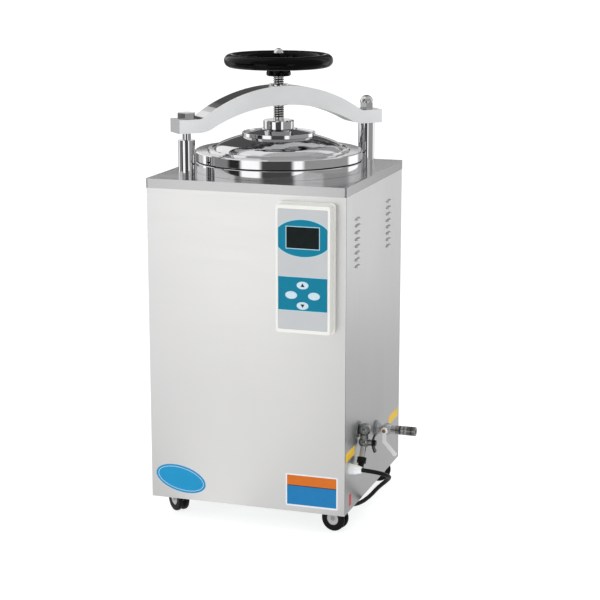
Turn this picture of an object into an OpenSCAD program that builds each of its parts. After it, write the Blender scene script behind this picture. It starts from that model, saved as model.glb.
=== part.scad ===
// Vertical pressure steam steriliser: a square cabinet on casters holds a round pressure
// vessel, and an arched yoke that swings on a post carries the lid on a handwheel screw.
// X is the width, Y runs from the front to the back and Z is up from the floor.

/* [Cabinet] */
// Width of the cabinet body
cab_w = 440; // [410:1:520]
// Depth of the cabinet body
cab_d = 440; // [410:1:520]
// Height from the cabinet's lower edge to the top of its top plate
cab_h = 703; // [660:1:800]
// Height of the cabinet's lower edge above the floor
floor_gap = 48; // [46:1:60]
// Sheet thickness of the panels
sheet_t = 1.2; // [0.8:0.1:2]
// Sheet thickness of the top cover
cap_t = 1.5; // [1:0.1:3]
// Depth of the top cover's folded lip
cap_lip = 20; // [12:1:30]
// Radius of the top cover's upright corners
cap_corner_r = 4; // [2:0.5:8]
// Depth of the folded returns inside the front and rear panels
return_d = 15; // [10:1:25]
// Thickness of the base plate
base_t = 3; // [2:0.5:5]
// Height of the skirt that hangs below the base plate
skirt_h = 20; // [17:1:30]

/* [Louvres] */
// Number of louvres in a column
louvre_n = 8; // [4:1:10]
// Distance from one louvre to the next
louvre_pitch = 14.4; // [12:0.2:18]
// Length of a louvre
louvre_l = 28; // [20:1:40]
// Height of a louvre's hood
louvre_h = 5; // [3:0.5:6]
// Wall thickness of a louvre's hood
louvre_wall = 1; // [0.6:0.1:1.5]
// Distance from the top plate down to the highest louvre
louvre_drop = 78; // [50:1:120]
// Distance from the cabinet's front face to the middle of the front column
louvre_front = 83; // [60:1:110]
// Distance from the front column to the rear column
louvre_col_w = 243; // [150:1:260]

/* [Pressure vessel] */
// Inside diameter of the vessel
chamber_d = 318; // [290:1:326]
// Depth of the chamber from the flange to the lowest point of its dish
chamber_depth = 450; // [400:1:480]
// Depth of the dished bottom
dish_h = 45; // [35:1:60]
// Wall thickness of the vessel
vessel_t = 3; // [2:0.5:5]
// Outside diameter of the vessel's flange and of the lid's rim
flange_d = 366; // [350:1:372]
// Thickness of the vessel's flange
flange_t = 20; // [14:1:26]
// Share of the space between the vessel and the panels that the insulation fills
jacket_share = 0.46; // [0.3:0.01:0.7]

/* [Lid] */
// Space between the vessel's flange and the lid, which the seal fills
lid_gap = 2.5; // [1.5:0.1:4]
// Thickness of the lid's rim
lid_rim_t = 20.5; // [14:0.5:26]
// Height of the dome's crown above the lid's underside
dome_rise = 61.5; // [55:0.5:70]
// Radius of the dome's crown
crown_r = 330; // [300:1:400]
// Radius of the dome's knuckle
knuckle_r = 32; // [25:1:40]
// Radius at which the dome meets the rim
dome_base_r = 145; // [138:1:150]
// Plate thickness of the dome
lid_t = 4; // [3:0.5:6]
// Width of the seal ring
seal_w = 10; // [6:0.5:12]
// Depth of the seal's groove
seal_groove = 4; // [3:0.5:6]
// Mean diameter of the seal ring
seal_d = 342; // [335:1:345]
// Diameter of the stiffening disc on the crown
disc_d = 160; // [120:1:200]
// Thickness of the stiffening disc
disc_t = 3.5; // [2:0.5:6]
// Diameter of the collar that holds the screw's foot
collar_d = 67; // [56:1:80]
// Height of the collar
collar_h = 20; // [18:0.5:30]

/* [Clamping yoke] */
// Diameter of the two posts
post_d = 36; // [30:1:40]
// Gap between the lid's rim and the posts
post_clear = 17; // [12:0.5:25]
// Width of the yoke bar
yoke_w = 50; // [44:1:60]
// Thickness of the yoke's flat ends
yoke_end_t = 29; // [22:1:36]
// Thickness of the yoke at its crown
yoke_crown_t = 41; // [32:1:50]
// Rise of the yoke's underside from its ends to its crown
yoke_rise = 50; // [40:1:60]
// Radius of the arch on top of the yoke
yoke_top_r = 330; // [300:1:380]
// Radius of the arch under the yoke
yoke_under_r = 354; // [330:1:400]
// Blend radius between the top arch and a flat end
yoke_top_blend = 24; // [15:1:26]
// Blend radius between the under arch and a flat end
yoke_under_blend = 60; // [40:1:70]
// Length of the yoke beyond each post's axis
yoke_over = 26; // [22:1:32]
// Free space between the raised collar and the yoke
arch_clear = 9; // [6:0.5:15]
// Diameter of the pivot journal
pivot_d = 20; // [16:0.5:24]
// Diameter of the latch post's neck
latch_neck_d = 18.5; // [14:0.5:22]
// Width of the hook slot that takes the latch post's neck
slot_w = 22.5; // [22.5:0.5:26]
// Width across the corners of the latch post's head
latch_head_w = 39.5; // [34:0.5:42]
// Height of the latch post's head
latch_head_h = 12.6; // [8:0.2:16]
// Length of the latch post's neck below the yoke
latch_neck_l = 16; // [10:1:22]

/* [Screw and handwheel] */
// Outside diameter of the clamp screw
screw_d = 24; // [20:1:28]
// Travel of the lid on the screw
lid_lift = 25; // [15:1:30]
// Diameter of the screw's foot
foot_d = 40; // [34:1:44]
// Outside diameter of the threaded bush in the yoke
bush_d = 38; // [34:1:44]
// Outside diameter of the handwheel
wheel_d = 236; // [200:1:260]
// Thickness of the handwheel's rim
rim_d = 28; // [20:1:32]
// Number of spokes
spoke_n = 5; // [3:1:6]
// Thickness of a spoke
spoke_d = 15; // [10:0.5:18]
// Diameter of the handwheel's hub
hub_d = 53; // [44:1:60]
// Height of the handwheel's hub
hub_h = 39; // [30:1:46]
// Height of the rim's middle above the hub's lower face
rim_up = 33; // [25:1:36]
// Gap between the yoke and the hub with the lid closed
hub_clear = 20; // [10:1:30]

/* [Control box] */
// Width of the control box
box_w = 117; // [100:1:140]
// Height of the control box
box_h = 267; // [245:1:300]
// Depth of the control box
box_d = 30; // [24:1:40]
// Distance from the cabinet's right side to the box's right side
box_margin = 25; // [25:1:60]
// Height of the box's lower edge above the cabinet's lower edge
box_z = 400; // [300:1:402]
// Width of the frame at the sides of the membrane
bezel_side = 5; // [4:0.5:8]
// Width of the frame above and below the membrane
bezel_end = 7.5; // [5:0.5:12]
// Wall thickness of the control box
box_t = 2.5; // [2:0.1:4]
// Width of the display window
display_w = 70; // [50:1:90]
// Height of the display window
display_h = 44; // [30:1:60]
// Share of the membrane's height from its upper edge to the display's middle
display_share = 0.2341; // [0.2:0.0001:0.26]
// Width of an oval key
key_w = 25.5; // [18:0.5:28]
// Height of an oval key
key_h = 16; // [12:0.5:18]
// Sideways distance from the key group's middle to a side key
key_dx = 24.7; // [18:0.5:28]
// Upright distance from the key group's middle to the upper and lower keys
key_dz = 21.5; // [20:0.5:26]
// Share of the membrane's height from its upper edge to the key group's middle
keys_share = 0.7123; // [0.6:0.0001:0.75]
// Travel of a key
key_travel = 0.5; // [0.3:0.1:0.6]

/* [Valves] */
// Height of the drain valve's inlet above the cabinet's lower edge
drain_z = 165; // [150:1:190]
// Distance from the middle plane forward to the drain valve
drain_y = 120; // [100:1:130]
// Height of the exhaust valve above the cabinet's lower edge
exhaust_z = 127; // [110:1:140]
// Distance from the middle plane back to the exhaust valve
exhaust_y = 20; // [18:1:60]
// Diameter of the valves' shanks
shank_d = 18; // [14:0.5:20]
// Diameter of the drain valve's elbow ball
elbow_d = 28.6; // [24:0.2:32]
// Distance from the panel to the middle of the elbow ball
elbow_out = 14; // [12:0.5:20]
// Drop from the elbow ball to the drain valve's plug body
drain_drop = 28; // [22:1:34]
// Diameter of the drain valve's plug body
plug_body_d = 25; // [20:0.5:28]
// Span of the drain valve's wing handle
wing_span = 40; // [30:1:48]
// Length of the drain spout from the plug body's middle
spout_l = 34; // [28:1:44]
// Diameter of the drain spout
spout_d = 13; // [10:0.5:15]
// Lean of the drain spout towards the front, in degrees
spout_lean = 30; // [10:1:40]
// Diameter of the hose tail on the spout
tail_d = 13; // [10:0.5:15]
// Length of the hose tail's smooth end
tail_l = 12; // [8:1:18]
// Outside diameter of the exhaust nozzle
nozzle_d = 20; // [16:0.5:24]
// Length of the exhaust nozzle
nozzle_l = 45; // [35:1:60]
// Diameter of the exhaust valve's ball body
ball_body_d = 28; // [24:0.5:32]
// Length of the exhaust lever's upright part
lever_drop = 25; // [20:1:30]
// Length of the exhaust lever's bent part
lever_tip = 36; // [28:1:42]
// Angle of the bent part from upright, in degrees
lever_bend = 42; // [20:1:50]

/* [Casters] */
// Diameter of a caster wheel
caster_d = 54; // [48:1:54]
// Width of each of a caster's two wheels
caster_w = 9.5; // [8:0.5:10]
// Space between the two wheels of a caster
caster_gap = 7; // [6:0.5:8]
// Distance from a caster's swivel axis to its wheels' axle
caster_trail = 16; // [12:1:16]
// Distance from the cabinet's sides to a swivel axis
caster_inset = 50; // [50:1:70]
// Diameter of a caster's axle
axle_d = 6; // [5:0.5:8]

/* [Basket] */
// Outside diameter of the basket
basket_d = 250; // [220:1:264]
// Height of the basket
basket_h = 200; // [140:1:210]
// Wall thickness of the basket
basket_t = 1.5; // [1:0.1:2.5]

/* [Power cord] */
// Diameter of the power cord
cord_d = 9; // [8:0.5:10]
// Length of the cord wound up in the coil, in turns
coil_turns = 4; // [4:2:4]

/* [Hidden] */
$fn = 64;
NODES = [
  "base_plate", "front_panel", "left_panel", "right_panel", "rear_panel", "top_cover",
  "post_carrier", "vessel_flange", "pressure_vessel", "insulation_jacket", "vessel_legs",
  "heating_element", "heater_grid", "temperature_probe", "pivot_post", "pivot_nut",
  "latch_post", "control_housing", "membrane_panel", "display_window", "control_board",
  "drain_valve", "drain_spout", "drain_hose_tail", "drain_pipe",
  "exhaust_valve", "exhaust_nozzle", "exhaust_pipe", "valve_washers", "safety_valve",
  "cable_gland", "power_cord", "cord_coil", "power_plug", "caster_plates",
  "yoke_beam", "screw_bush", "lid_shell", "lid_seal", "lid_disc", "foot_collar",
  "clamp_screw", "handwheel", "wheel_nut", "drain_handle", "exhaust_lever",
  "key_up", "key_down", "key_left", "key_right", "basket", "basket_bail",
  "fork_front_left", "fork_front_right", "fork_rear_left", "fork_rear_right",
  "wheel_front_left", "wheel_front_right", "wheel_rear_left", "wheel_rear_right"
];

// Gaps: seam between fixed neighbours, fit round a running pin, play between moving faces
seam = 0.2;
run_fit = 0.05;
play = 0.4;
cut = 1;

// Cabinet levels and faces
face_x = cab_w / 2;
face_y = cab_d / 2;
inner_x = face_x - sheet_t;
inner_y = face_y - sheet_t;
z_top = floor_gap + cab_h;
z_panel_top = z_top - cap_t - seam;
z_base = floor_gap + skirt_h;
panel_h = z_panel_top - floor_gap;
cap_over = seam + sheet_t;

// Vessel levels
vessel_r = chamber_d / 2;
vessel_or = vessel_r + vessel_t;
flange_r = flange_d / 2;
jacket_t = jacket_share * (min(cab_w, cab_d) / 2 - sheet_t - vessel_or);
z_flange = z_top + flange_t;
z_dish = z_flange - chamber_depth;
z_tangent = z_dish + dish_h;
vessel_skirt = 10;
z_skirt = z_dish - vessel_t - vessel_skirt;
neck_gap = 1;
carrier_t = 12;
carrier_ring = 14;
carrier_bar_w = 54;
carrier_ear_r = 31;
shoulder_t = 6;
z_carrier = z_top - cap_t - seam - carrier_t;
z_shoulder = z_carrier - seam - shoulder_t;
arc_steps = 12;

// Lid levels
z_lid = z_flange + lid_gap;
z_rim = z_lid + lid_rim_t;
z_crown = z_lid + dome_rise;
rim_bevel = 2;
rim_step = 2;
ridge_w = 9;
ridge_h = 2;
knuckle_x = dome_base_r - knuckle_r;
crown_cz = z_crown - crown_r;
knuckle_dz = sqrt((crown_r - knuckle_r) * (crown_r - knuckle_r) - knuckle_x * knuckle_x);
knuckle_cz = crown_cz + knuckle_dz;
crown_angle = atan(knuckle_x / knuckle_dz);
disc_flat_r = collar_d / 2 + disc_t;
disc_rim_h = 4;
z_disc = z_crown + seam;
z_collar = z_disc + disc_t + seam;
z_collar_top = z_collar + collar_h;
collar_floor = 4;
foot_h = 8.6;

// Yoke levels
post_r = post_d / 2;
post_at = flange_r + post_r + post_clear;
z_arch = z_collar_top + lid_lift + arch_clear;
z_yoke = z_arch - yoke_rise;
z_yoke_top = z_yoke + yoke_end_t;
z_arch_top = z_arch + yoke_crown_t;
yoke_half = post_at + yoke_over;
spigot_d = pivot_d;
bush_flange_w = 3;
bush_flange_h = 2;
nut_af_share = 1.56;
nut_hex_h = 14;
nut_dome_h = 17;

// Screw and handwheel levels
z_foot = z_collar + collar_floor + play;
z_hub = z_arch_top + hub_clear;
z_hub_top = z_hub + hub_h;
z_wheel = z_hub + rim_up;
rim_r = (wheel_d - rim_d) / 2;
hub_neck_share = 0.82;
hub_lip_share = 0.2;
wheel_nut_w = 26;
wheel_nut_h = 10;
wheel_nut_dome = 10;
stud_up = 6;

// Control box places
box_front = face_y + box_d;
box_flange = 4;
box_flange_t = 3;
box_corner_r = 5;
pocket_d = 2;
membrane_t = 1.5;
membrane_w = box_w - 2 * bezel_side;
membrane_h = box_h - 2 * bezel_end;
membrane_mid_x = cab_w / 2 - box_margin - box_w / 2;
membrane_top = floor_gap + box_z + box_h - bezel_end;
display_drop = membrane_h * display_share;
keys_drop = membrane_h * keys_share;
membrane_r = 3;
key_proud = 0.4;
key_side_gap = 0.35;
key_t = 1.5;
board_t = 1.6;
board_edge = 12;
board_stand = 8;
board_stand_r = 3;
key_places = [[0, key_dz], [0, -key_dz], [-key_dx, 0], [key_dx, 0]];

// Valve places
z_drain = floor_gap + drain_z;
z_exhaust = floor_gap + exhaust_z;
washer_t = 3;
washer_r = shank_d;
shank_r = shank_d / 2;
shank_in = 15;
hole_gap = 0.3;
pipe_r = 6;
pipe_bend = 24;
elbow_x = face_x + elbow_out;
z_plug = z_drain - drain_drop;
stem_r = 5;
drain_stem_l = 21;
wing_t = 3;
wing_w = 13;
wing_cup = 5;
wing_nut_h = 5;
wing_nut_r = 6.5;
tail_collar_r = 10;
tail_collar_l = 12;
ball_out = 26;
ball_x = face_x + ball_out;
hex_l = 8;
hex_r = 13;
gland_nut_r = 12;
exhaust_stem_l = 6;
lever_t = 3;
lever_w = 8;
lever_end_r = 4.6;
lever_eye_r = 7.5;
exhaust_stem_z = 2;
nozzle_bore = 5;
rib_n = 3;
rib_pitch = 5;
rib_depth = 1;
rib_w = 2;

// Pipe drops from the dish
drain_pipe_x = 20;
exhaust_pipe_x = 60;
safety_x = 120;
safety_r = 9;
safety_h = 34;

// Inner fittings
leg_r = 9;
leg_pad_r = 18;
leg_pad_t = 5;
grid_up = 22;
grid_t = 2;
grid_edge = 7;
grid_hole_r = 5;
grid_rings = 4;
grid_foot_r = 5;
grid_foot_at_share = 0.75;
heater_r = 5;
heater_up = 9;
heater_places = [-40, 40];
heater_half = 18;
heater_back = 100;
heater_out = 14;
heater_nut_r = 8;
heater_nut_h = 8;
probe_r = 3;
probe_in = 40;
probe_head_r = 8;
probe_head_h = 10;

// Basket levels
z_basket = z_tangent + grid_up + grid_t + seam;
basket_r = basket_d / 2;
basket_slot_w = 6;
bail_wire_r = 3;
bail_up = 9;
bail_gap = 4;
lug_t = 4;
lug_w = 14;
lug_over = 5;
lug_down = 8;
lug_out = 1;
z_bail = z_basket + basket_h + bail_up;
bail_r = basket_r - lug_t - bail_gap - bail_wire_r;

// Caster parts
caster_r = caster_d / 2;
plate_w = 42;
plate_t = 3;
race_r = 16;
race_t = 4.8;
crown_t = 3.6;
crown_rad = 15;
king_r = 4;
web_gap = 0.7;
web_foot = 11;
web_eye_r = 9;
cap_gap = 0.3;
axle_cap_r = 4.5;
axle_cap_t = 0.7;
tyre_round = 3;
hub_dish_r = 13;
hub_boss_r = 6.5;
hub_dish_t = 2;
z_plate = z_base - plate_t;
z_race = z_plate - race_t;
z_fork = z_race - play - crown_t;
swivel_x = face_x - caster_inset;
swivel_y = face_y - caster_inset;
caster_places = [[-swivel_x, -swivel_y], [swivel_x, -swivel_y],
  [-swivel_x, swivel_y], [swivel_x, swivel_y]];
caster_turns = [140, -12, 150, 30];

// Power cord: gland, route, coil and plug
gland_y = -187;
gland_z = 96;
z_gland = floor_gap + gland_z;
gland_l = 28;
gland_body_r = 10.5;
gland_tip_r = 7;
gland_nut_h = 6;
cord_r = cord_d / 2;
coil_gap = 0.6;
coil_step = cord_d + coil_gap;
coil_x = 60;
coil_y = -8;
coil_start_r = 63;
coil_begin = 52;
coil_climb = 180;
coil_lead = 40;
coil_rings = 24;
coil_sides = 6;
cord_sides = 8;
z_lay = cord_r + seam;
plug_l = 46;
plug_w = 30;
plug_neck_l = 16;
plug_neck_r = 5.5;
blade_l = 17;
blade_w = 6.5;
blade_t = 1.6;
blade_gap = 12;

// Offset that brings the middle of the whole part's box onto the frame's origin
x_low = -(face_x + cap_over);
x_high = ball_x + ball_out - shank_r / 2 + nozzle_l;
y_low = -(box_front + key_proud);
y_high = face_y + cap_over;
shift_x = -(x_low + x_high) / 2;
shift_y = -(y_low + y_high) / 2;

// Moves a piece from the chamber's axis into the part's own frame
module in_frame() {
  translate([shift_x, shift_y, 0])
    children();
}

// Turns a piece onto the cabinet's diagonal, where the yoke lies
module on_diagonal(along = 0) {
  rotate([0, 0, 45])
    translate([along, 0, 0])
      children();
}

// Rectangle with true round corners, centred
module round_rect(w, h, r) {
  square([w - 2 * r, h], center = true);
  square([w, h - 2 * r], center = true);
  for (sx = [-1, 1])
    for (sy = [-1, 1])
      translate([sx * (w / 2 - r), sy * (h / 2 - r)])
        circle(r);
}

// Stands a flat outline up as a slab that faces the front, from y_front backwards
module facing_front(y_front, depth) {
  translate([0, y_front + depth, 0])
    rotate([90, 0, 0])
      linear_extrude(depth)
        children();
}

// Round bar along X from x0 to x1
module bar_x(x0, x1, r) {
  translate([x0, 0, 0])
    rotate([0, 90, 0])
      cylinder(h = x1 - x0, r = r);
}

// Points of a circular arc about a centre, with the angle measured from +Z towards +X
function arc(cx, cz, r, a0, a1, n = arc_steps) =
  [for (i = [0:n]) let (a = a0 + (a1 - a0) * i / n) [cx + r * sin(a), cz + r * cos(a)]];

// Points of an oval outline
function oval(w, h, n = 32) =
  [for (i = [0:n - 1]) [w / 2 * cos(360 * i / n), h / 2 * sin(360 * i / n)]];

function reversed(list) = [for (i = [len(list) - 1:-1:0]) list[i]];
function mirrored(list) = [for (p = list) [-p[0], p[1]]];

// Base plate between the panels, which carries the vessel's legs and the casters
module base_plate() {
  in_frame() color("darkgray")
    translate([0, 0, z_base + base_t / 2])
      cube([2 * (inner_x - seam), 2 * (inner_y - seam), base_t], center = true);
}

// Flat sheet with a folded return along each upright edge, seen in plan
module folded_sheet_plan() {
  square([cab_w, sheet_t]);
  for (x = [sheet_t + seam, cab_w - 2 * sheet_t - seam])
    translate([x, 0])
      square([sheet_t, return_d]);
}

module front_panel() {
  in_frame() color("gainsboro")
    difference() {
      union() {
        translate([-face_x, -face_y, floor_gap])
          cube([cab_w, sheet_t, panel_h]);
        translate([-face_x, -face_y, z_base + base_t + seam])
          linear_extrude(z_panel_top - z_base - base_t - seam)
            folded_sheet_plan();
      }
      translate([membrane_mid_x, 0, floor_gap + box_z + box_h / 2])
        rotate([90, 0, 0])
          cylinder(h = cab_d, r = box_d / 2);
    }
}

module rear_panel() {
  in_frame() color("lightgray")
    union() {
      translate([-face_x, inner_y, floor_gap])
        cube([cab_w, sheet_t, panel_h]);
      translate([face_x, face_y, z_base + base_t + seam])
        rotate([0, 0, 180])
          linear_extrude(z_panel_top - z_base - base_t - seam)
            folded_sheet_plan();
    }
}

module side_sheet(x) {
  translate([x, -inner_y + seam, floor_gap])
    cube([sheet_t, 2 * (inner_y - seam), panel_h]);
}

module left_panel() {
  in_frame() color("lightgray")
    side_sheet(-face_x);
}

// Rounded bulge of a louvre, a bar with ball ends that lies along Y
module louvre_bulge(r) {
  straight = louvre_l - 2 * louvre_h;
  rotate([90, 0, 0])
    cylinder(h = straight, r = r, center = true);
  for (sy = [-1, 1])
    translate([0, sy * straight / 2, 0])
      sphere(r);
}

// Hood of a louvre on the panel's outer face, closed above and open below
module louvre_hood() {
  difference() {
    intersection() {
      louvre_bulge(louvre_h);
      translate([louvre_h, 0, louvre_h])
        cube([2 * louvre_h, 2 * louvre_l, 2 * louvre_h], center = true);
    }
    louvre_bulge(louvre_h - louvre_wall);
  }
}

// Places something at every louvre of both columns
module at_louvres() {
  for (col = [0, 1])
    for (row = [0:louvre_n - 1])
      translate([face_x, -face_y + louvre_front + col * louvre_col_w,
        z_top - louvre_drop - row * louvre_pitch])
        children();
}

module right_panel() {
  slot_h = louvre_h - louvre_wall;
  in_frame() color("silver") {
    difference() {
      side_sheet(inner_x);
      at_louvres()
        translate([0, 0, slot_h / 2])
          cube([cut + 2 * sheet_t, louvre_l - 2 * louvre_h, slot_h], center = true);
      for (p = [[-drain_y, z_drain, shank_r], [exhaust_y, z_exhaust, shank_r],
        [gland_y, z_gland, gland_body_r]])
        translate([0, p[0], p[1]])
          bar_x(inner_x - cut, face_x + cut, p[2] + hole_gap);
    }
    at_louvres()
      louvre_hood();
  }
}

// Tray shaped cover with a folded lip and holes for the vessel's neck and the posts
module top_cover() {
  outer = 2 * cap_over;
  in_frame() color("whitesmoke")
    difference() {
      translate([0, 0, z_top - cap_lip])
        linear_extrude(cap_lip)
          round_rect(cab_w + outer, cab_d + outer, cap_corner_r);
      translate([0, 0, z_top - cap_lip - cut])
        linear_extrude(cap_lip - cap_t + cut)
          square([cab_w + 2 * seam, cab_d + 2 * seam], center = true);
      translate([0, 0, z_top - cap_t - cut])
        cylinder(h = cap_t + 2 * cut, r = vessel_or + neck_gap);
      for (side = [-1, 1])
        on_diagonal(side * post_at)
          translate([0, 0, z_top - cap_t - cut])
            cylinder(h = cap_t + 2 * cut, r = post_r + hole_gap);
    }
}

// Thick ring under the cover with an ear for each post, carried by the vessel's shoulder
module post_carrier() {
  in_frame() color("dimgray")
    translate([0, 0, z_carrier])
      linear_extrude(carrier_t)
        difference() {
          union() {
            circle(vessel_or + carrier_ring);
            on_diagonal()
              square([2 * post_at, carrier_bar_w], center = true);
            for (side = [-1, 1])
              on_diagonal(side * post_at)
                circle(carrier_ear_r);
          }
          circle(vessel_or + seam);
          for (side = [-1, 1])
            on_diagonal(side * post_at)
              circle(spigot_d / 2 + seam);
        }
}

// Points along the dished bottom from its rim to its centre, shifted down by drop
function dish(drop) = [for (i = [0:arc_steps]) let (a = 90 * i / arc_steps)
  [vessel_r * cos(a), z_tangent - drop - dish_h * sin(a)]];

// Neck ring welded on the drum: a shoulder for the carrier below and the flange above
module vessel_flange() {
  shoulder_r = vessel_or + carrier_ring;
  in_frame() color("lightsteelblue")
    rotate_extrude()
      polygon([[vessel_r, z_flange], [vessel_r, z_shoulder], [shoulder_r, z_shoulder],
        [shoulder_r, z_shoulder + shoulder_t], [vessel_or, z_shoulder + shoulder_t],
        [vessel_or, z_top + seam], [flange_r, z_top + seam],
        [flange_r, z_flange - rim_bevel / 2], [flange_r - rim_bevel / 2, z_flange]]);
}

// Drum with a dished bottom and a short skirt below it
module pressure_vessel() {
  in_frame() color("lightsteelblue")
    difference() {
      rotate_extrude()
        polygon(concat(
          [[vessel_r, z_shoulder - seam], [vessel_r, z_tangent]],
          dish(0),
          reversed(dish(vessel_t)),
          [[vessel_r, z_skirt], [vessel_or, z_skirt], [vessel_or, z_shoulder - seam]]));
      for (p = [[drain_pipe_x, -drain_y], [exhaust_pipe_x, exhaust_y]])
        translate([p[0], p[1], z_skirt])
          cylinder(h = z_tangent - z_skirt, r = pipe_r + seam);
      for (x = heater_places)
        for (side = [-1, 1])
          translate([x + side * heater_half, 0, z_tangent + heater_up])
            rotate([-90, 0, 0])
              cylinder(h = vessel_or + cut, r = heater_r + seam);
      translate([0, 0, z_tangent + heater_up])
        bar_x(-vessel_or - cut, -vessel_r / 2, probe_r + seam);
    }
}

module insulation_jacket() {
  low = z_tangent + heater_up + heater_nut_r + 2 * seam;
  in_frame() color("ivory")
    translate([0, 0, low])
      difference() {
        cylinder(h = z_shoulder - seam - low, r = vessel_or + jacket_t);
        translate([0, 0, -cut])
          cylinder(h = z_shoulder + 2 * cut - low, r = vessel_or + seam);
      }
}

// Four round legs with a foot and a pad, from the base plate up to the vessel's skirt
module vessel_legs() {
  low = z_base + base_t;
  in_frame() color("gray")
    for (turn = [0:90:270])
      rotate([0, 0, turn])
        translate([vessel_r + vessel_t / 2, 0, 0]) {
          translate([0, 0, low])
            cylinder(h = z_skirt - low, r = leg_r);
          for (z = [low, z_skirt - leg_pad_t])
            translate([0, 0, z])
              cylinder(h = leg_pad_t, r = leg_pad_r);
        }
}

// Hairpin heaters near the chamber's floor with their nuts outside the wall
module heating_element() {
  in_frame() color("rosybrown")
    translate([0, 0, z_tangent + heater_up])
      for (x = heater_places)
        translate([x, 0, 0]) {
          translate([0, -heater_back + heater_half, 0])
            rotate([0, 0, 180])
              rotate_extrude(angle = 180)
                translate([heater_half, 0])
                  circle(heater_r);
          for (side = [-1, 1]) {
            wall_x = abs(x + side * heater_half) - heater_nut_r;
            wall_y = sqrt(vessel_or * vessel_or - wall_x * wall_x) + seam;
            translate([side * heater_half, -heater_back + heater_half, 0])
              rotate([-90, 0, 0])
                cylinder(h = wall_y + heater_out + heater_back - heater_half,
                  r = heater_r);
            translate([side * heater_half, wall_y, 0])
              rotate([-90, 0, 0])
                cylinder(h = heater_nut_h, r = heater_nut_r, $fn = 6);
          }
        }
}

// Perforated floor that stands on three feet above the heaters
module heater_grid() {
  plate_r = vessel_r - grid_edge;
  foot_at = plate_r * grid_foot_at_share;
  foot_share = (foot_at + grid_foot_r) / vessel_r;
  foot_low = z_tangent - dish_h * sqrt(1 - foot_share * foot_share) + 2 * seam;
  in_frame() color("silver") {
    difference() {
      translate([0, 0, z_tangent + grid_up])
        cylinder(h = grid_t, r = plate_r);
      for (ring = [1:grid_rings])
        for (i = [0:6 * ring - 1])
          rotate([0, 0, 60 * i / ring])
            translate([ring * plate_r / (grid_rings + 1), 0, z_tangent])
              cylinder(h = grid_up + grid_t + cut, r = grid_hole_r);
    }
    for (turn = [90, 210, 330])
      rotate([0, 0, turn])
        translate([foot_at, 0, foot_low])
          cylinder(h = z_tangent + grid_up - foot_low, r = grid_foot_r);
  }
}

module temperature_probe() {
  in_frame() color("goldenrod")
    translate([0, 0, z_tangent + heater_up]) {
      bar_x(-vessel_or - probe_head_h, -vessel_or + probe_in, probe_r);
      bar_x(-vessel_or - probe_head_h, -vessel_or - seam, probe_head_r - probe_r);
    }
}

// Post under the yoke's pivot end: shoulder, journal and a stud for the cap nut
module pivot_post() {
  in_frame() color("lightgray")
    on_diagonal(post_at) {
      translate([0, 0, z_carrier])
        cylinder(h = carrier_t, r = spigot_d / 2);
      translate([0, 0, z_carrier + carrier_t])
        cylinder(h = z_yoke - play - z_carrier - carrier_t, r = post_r);
      translate([0, 0, z_yoke - play])
        cylinder(h = yoke_end_t + 2 * play + nut_hex_h, r = pivot_d / 2);
    }
}

// Domed cap nut, with its bore, that holds the yoke down on its journal
module pivot_nut() {
  in_frame() color("silver")
    on_diagonal(post_at)
      translate([0, 0, z_yoke_top + play])
        difference() {
          union() {
            cylinder(h = nut_hex_h, r = pivot_d * nut_af_share / 2, $fn = 6);
            translate([0, 0, nut_hex_h])
              rotate_extrude()
                intersection() {
                  translate([0, nut_dome_h - pivot_d * nut_af_share / 2 + seam])
                    circle(pivot_d * nut_af_share / 2 - cut);
                  square(nut_dome_h + cut);
                }
          }
          translate([0, 0, -cut])
            cylinder(h = nut_hex_h + cut + seam, r = pivot_d / 2 + seam);
        }
}

// Post with a necked top and a hexagon head that the yoke's hook slides under
module latch_post() {
  in_frame() color("lightgray")
    on_diagonal(-post_at) {
      translate([0, 0, z_carrier])
        cylinder(h = carrier_t, r = spigot_d / 2);
      translate([0, 0, z_carrier + carrier_t])
        cylinder(h = z_yoke - latch_neck_l - z_carrier - carrier_t, r = post_r);
      translate([0, 0, z_yoke - latch_neck_l])
        cylinder(h = latch_neck_l + yoke_end_t + play + latch_head_h / 2,
          r = latch_neck_d / 2);
      translate([0, 0, z_yoke_top + play])
        cylinder(h = latch_head_h, r = latch_head_w / 2, $fn = 6);
    }
}

// Half of one edge of the yoke: an arch, then a blend that runs out into a flat end
function yoke_edge(peak, r, flat, blend) =
  let (centre = peak - r,
    lift = flat + blend - centre,
    run = sqrt((r + blend) * (r + blend) - lift * lift),
    turn = atan(run / lift))
  concat(arc(0, centre, r, 0, turn),
    [for (i = [1:arc_steps]) let (a = turn * (1 - i / arc_steps))
      [run - blend * sin(a), flat + blend - blend * cos(a)]]);

function yoke_half_outline() = concat(
  yoke_edge(z_arch_top, yoke_top_r, z_yoke_top, yoke_top_blend),
  [[yoke_half, z_yoke_top], [yoke_half, z_yoke]],
  reversed(yoke_edge(z_arch, yoke_under_r, z_yoke, yoke_under_blend)));

// Arched clamping bar: pivot bore at one end, hook slot at the other, bush bore between
module yoke_beam() {
  half = yoke_half_outline();
  in_frame() color("whitesmoke")
    on_diagonal()
      difference() {
        rotate([90, 0, 0])
          linear_extrude(yoke_w, center = true)
            polygon(concat(half, reversed(mirrored(half))));
        translate([post_at, 0, z_yoke - cut])
          cylinder(h = yoke_end_t + 2 * cut, r = pivot_d / 2 + run_fit);
        translate([-post_at, 0, z_yoke - cut])
          cylinder(h = yoke_end_t + 2 * cut, r = slot_w / 2);
        translate([-post_at - slot_w / 2, 0, z_yoke - cut])
          cube([slot_w, yoke_w, yoke_end_t + 2 * cut]);
        translate([0, 0, z_arch - yoke_rise])
          cylinder(h = yoke_rise + yoke_crown_t + cut, r = bush_d / 2 + seam);
      }
}

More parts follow.
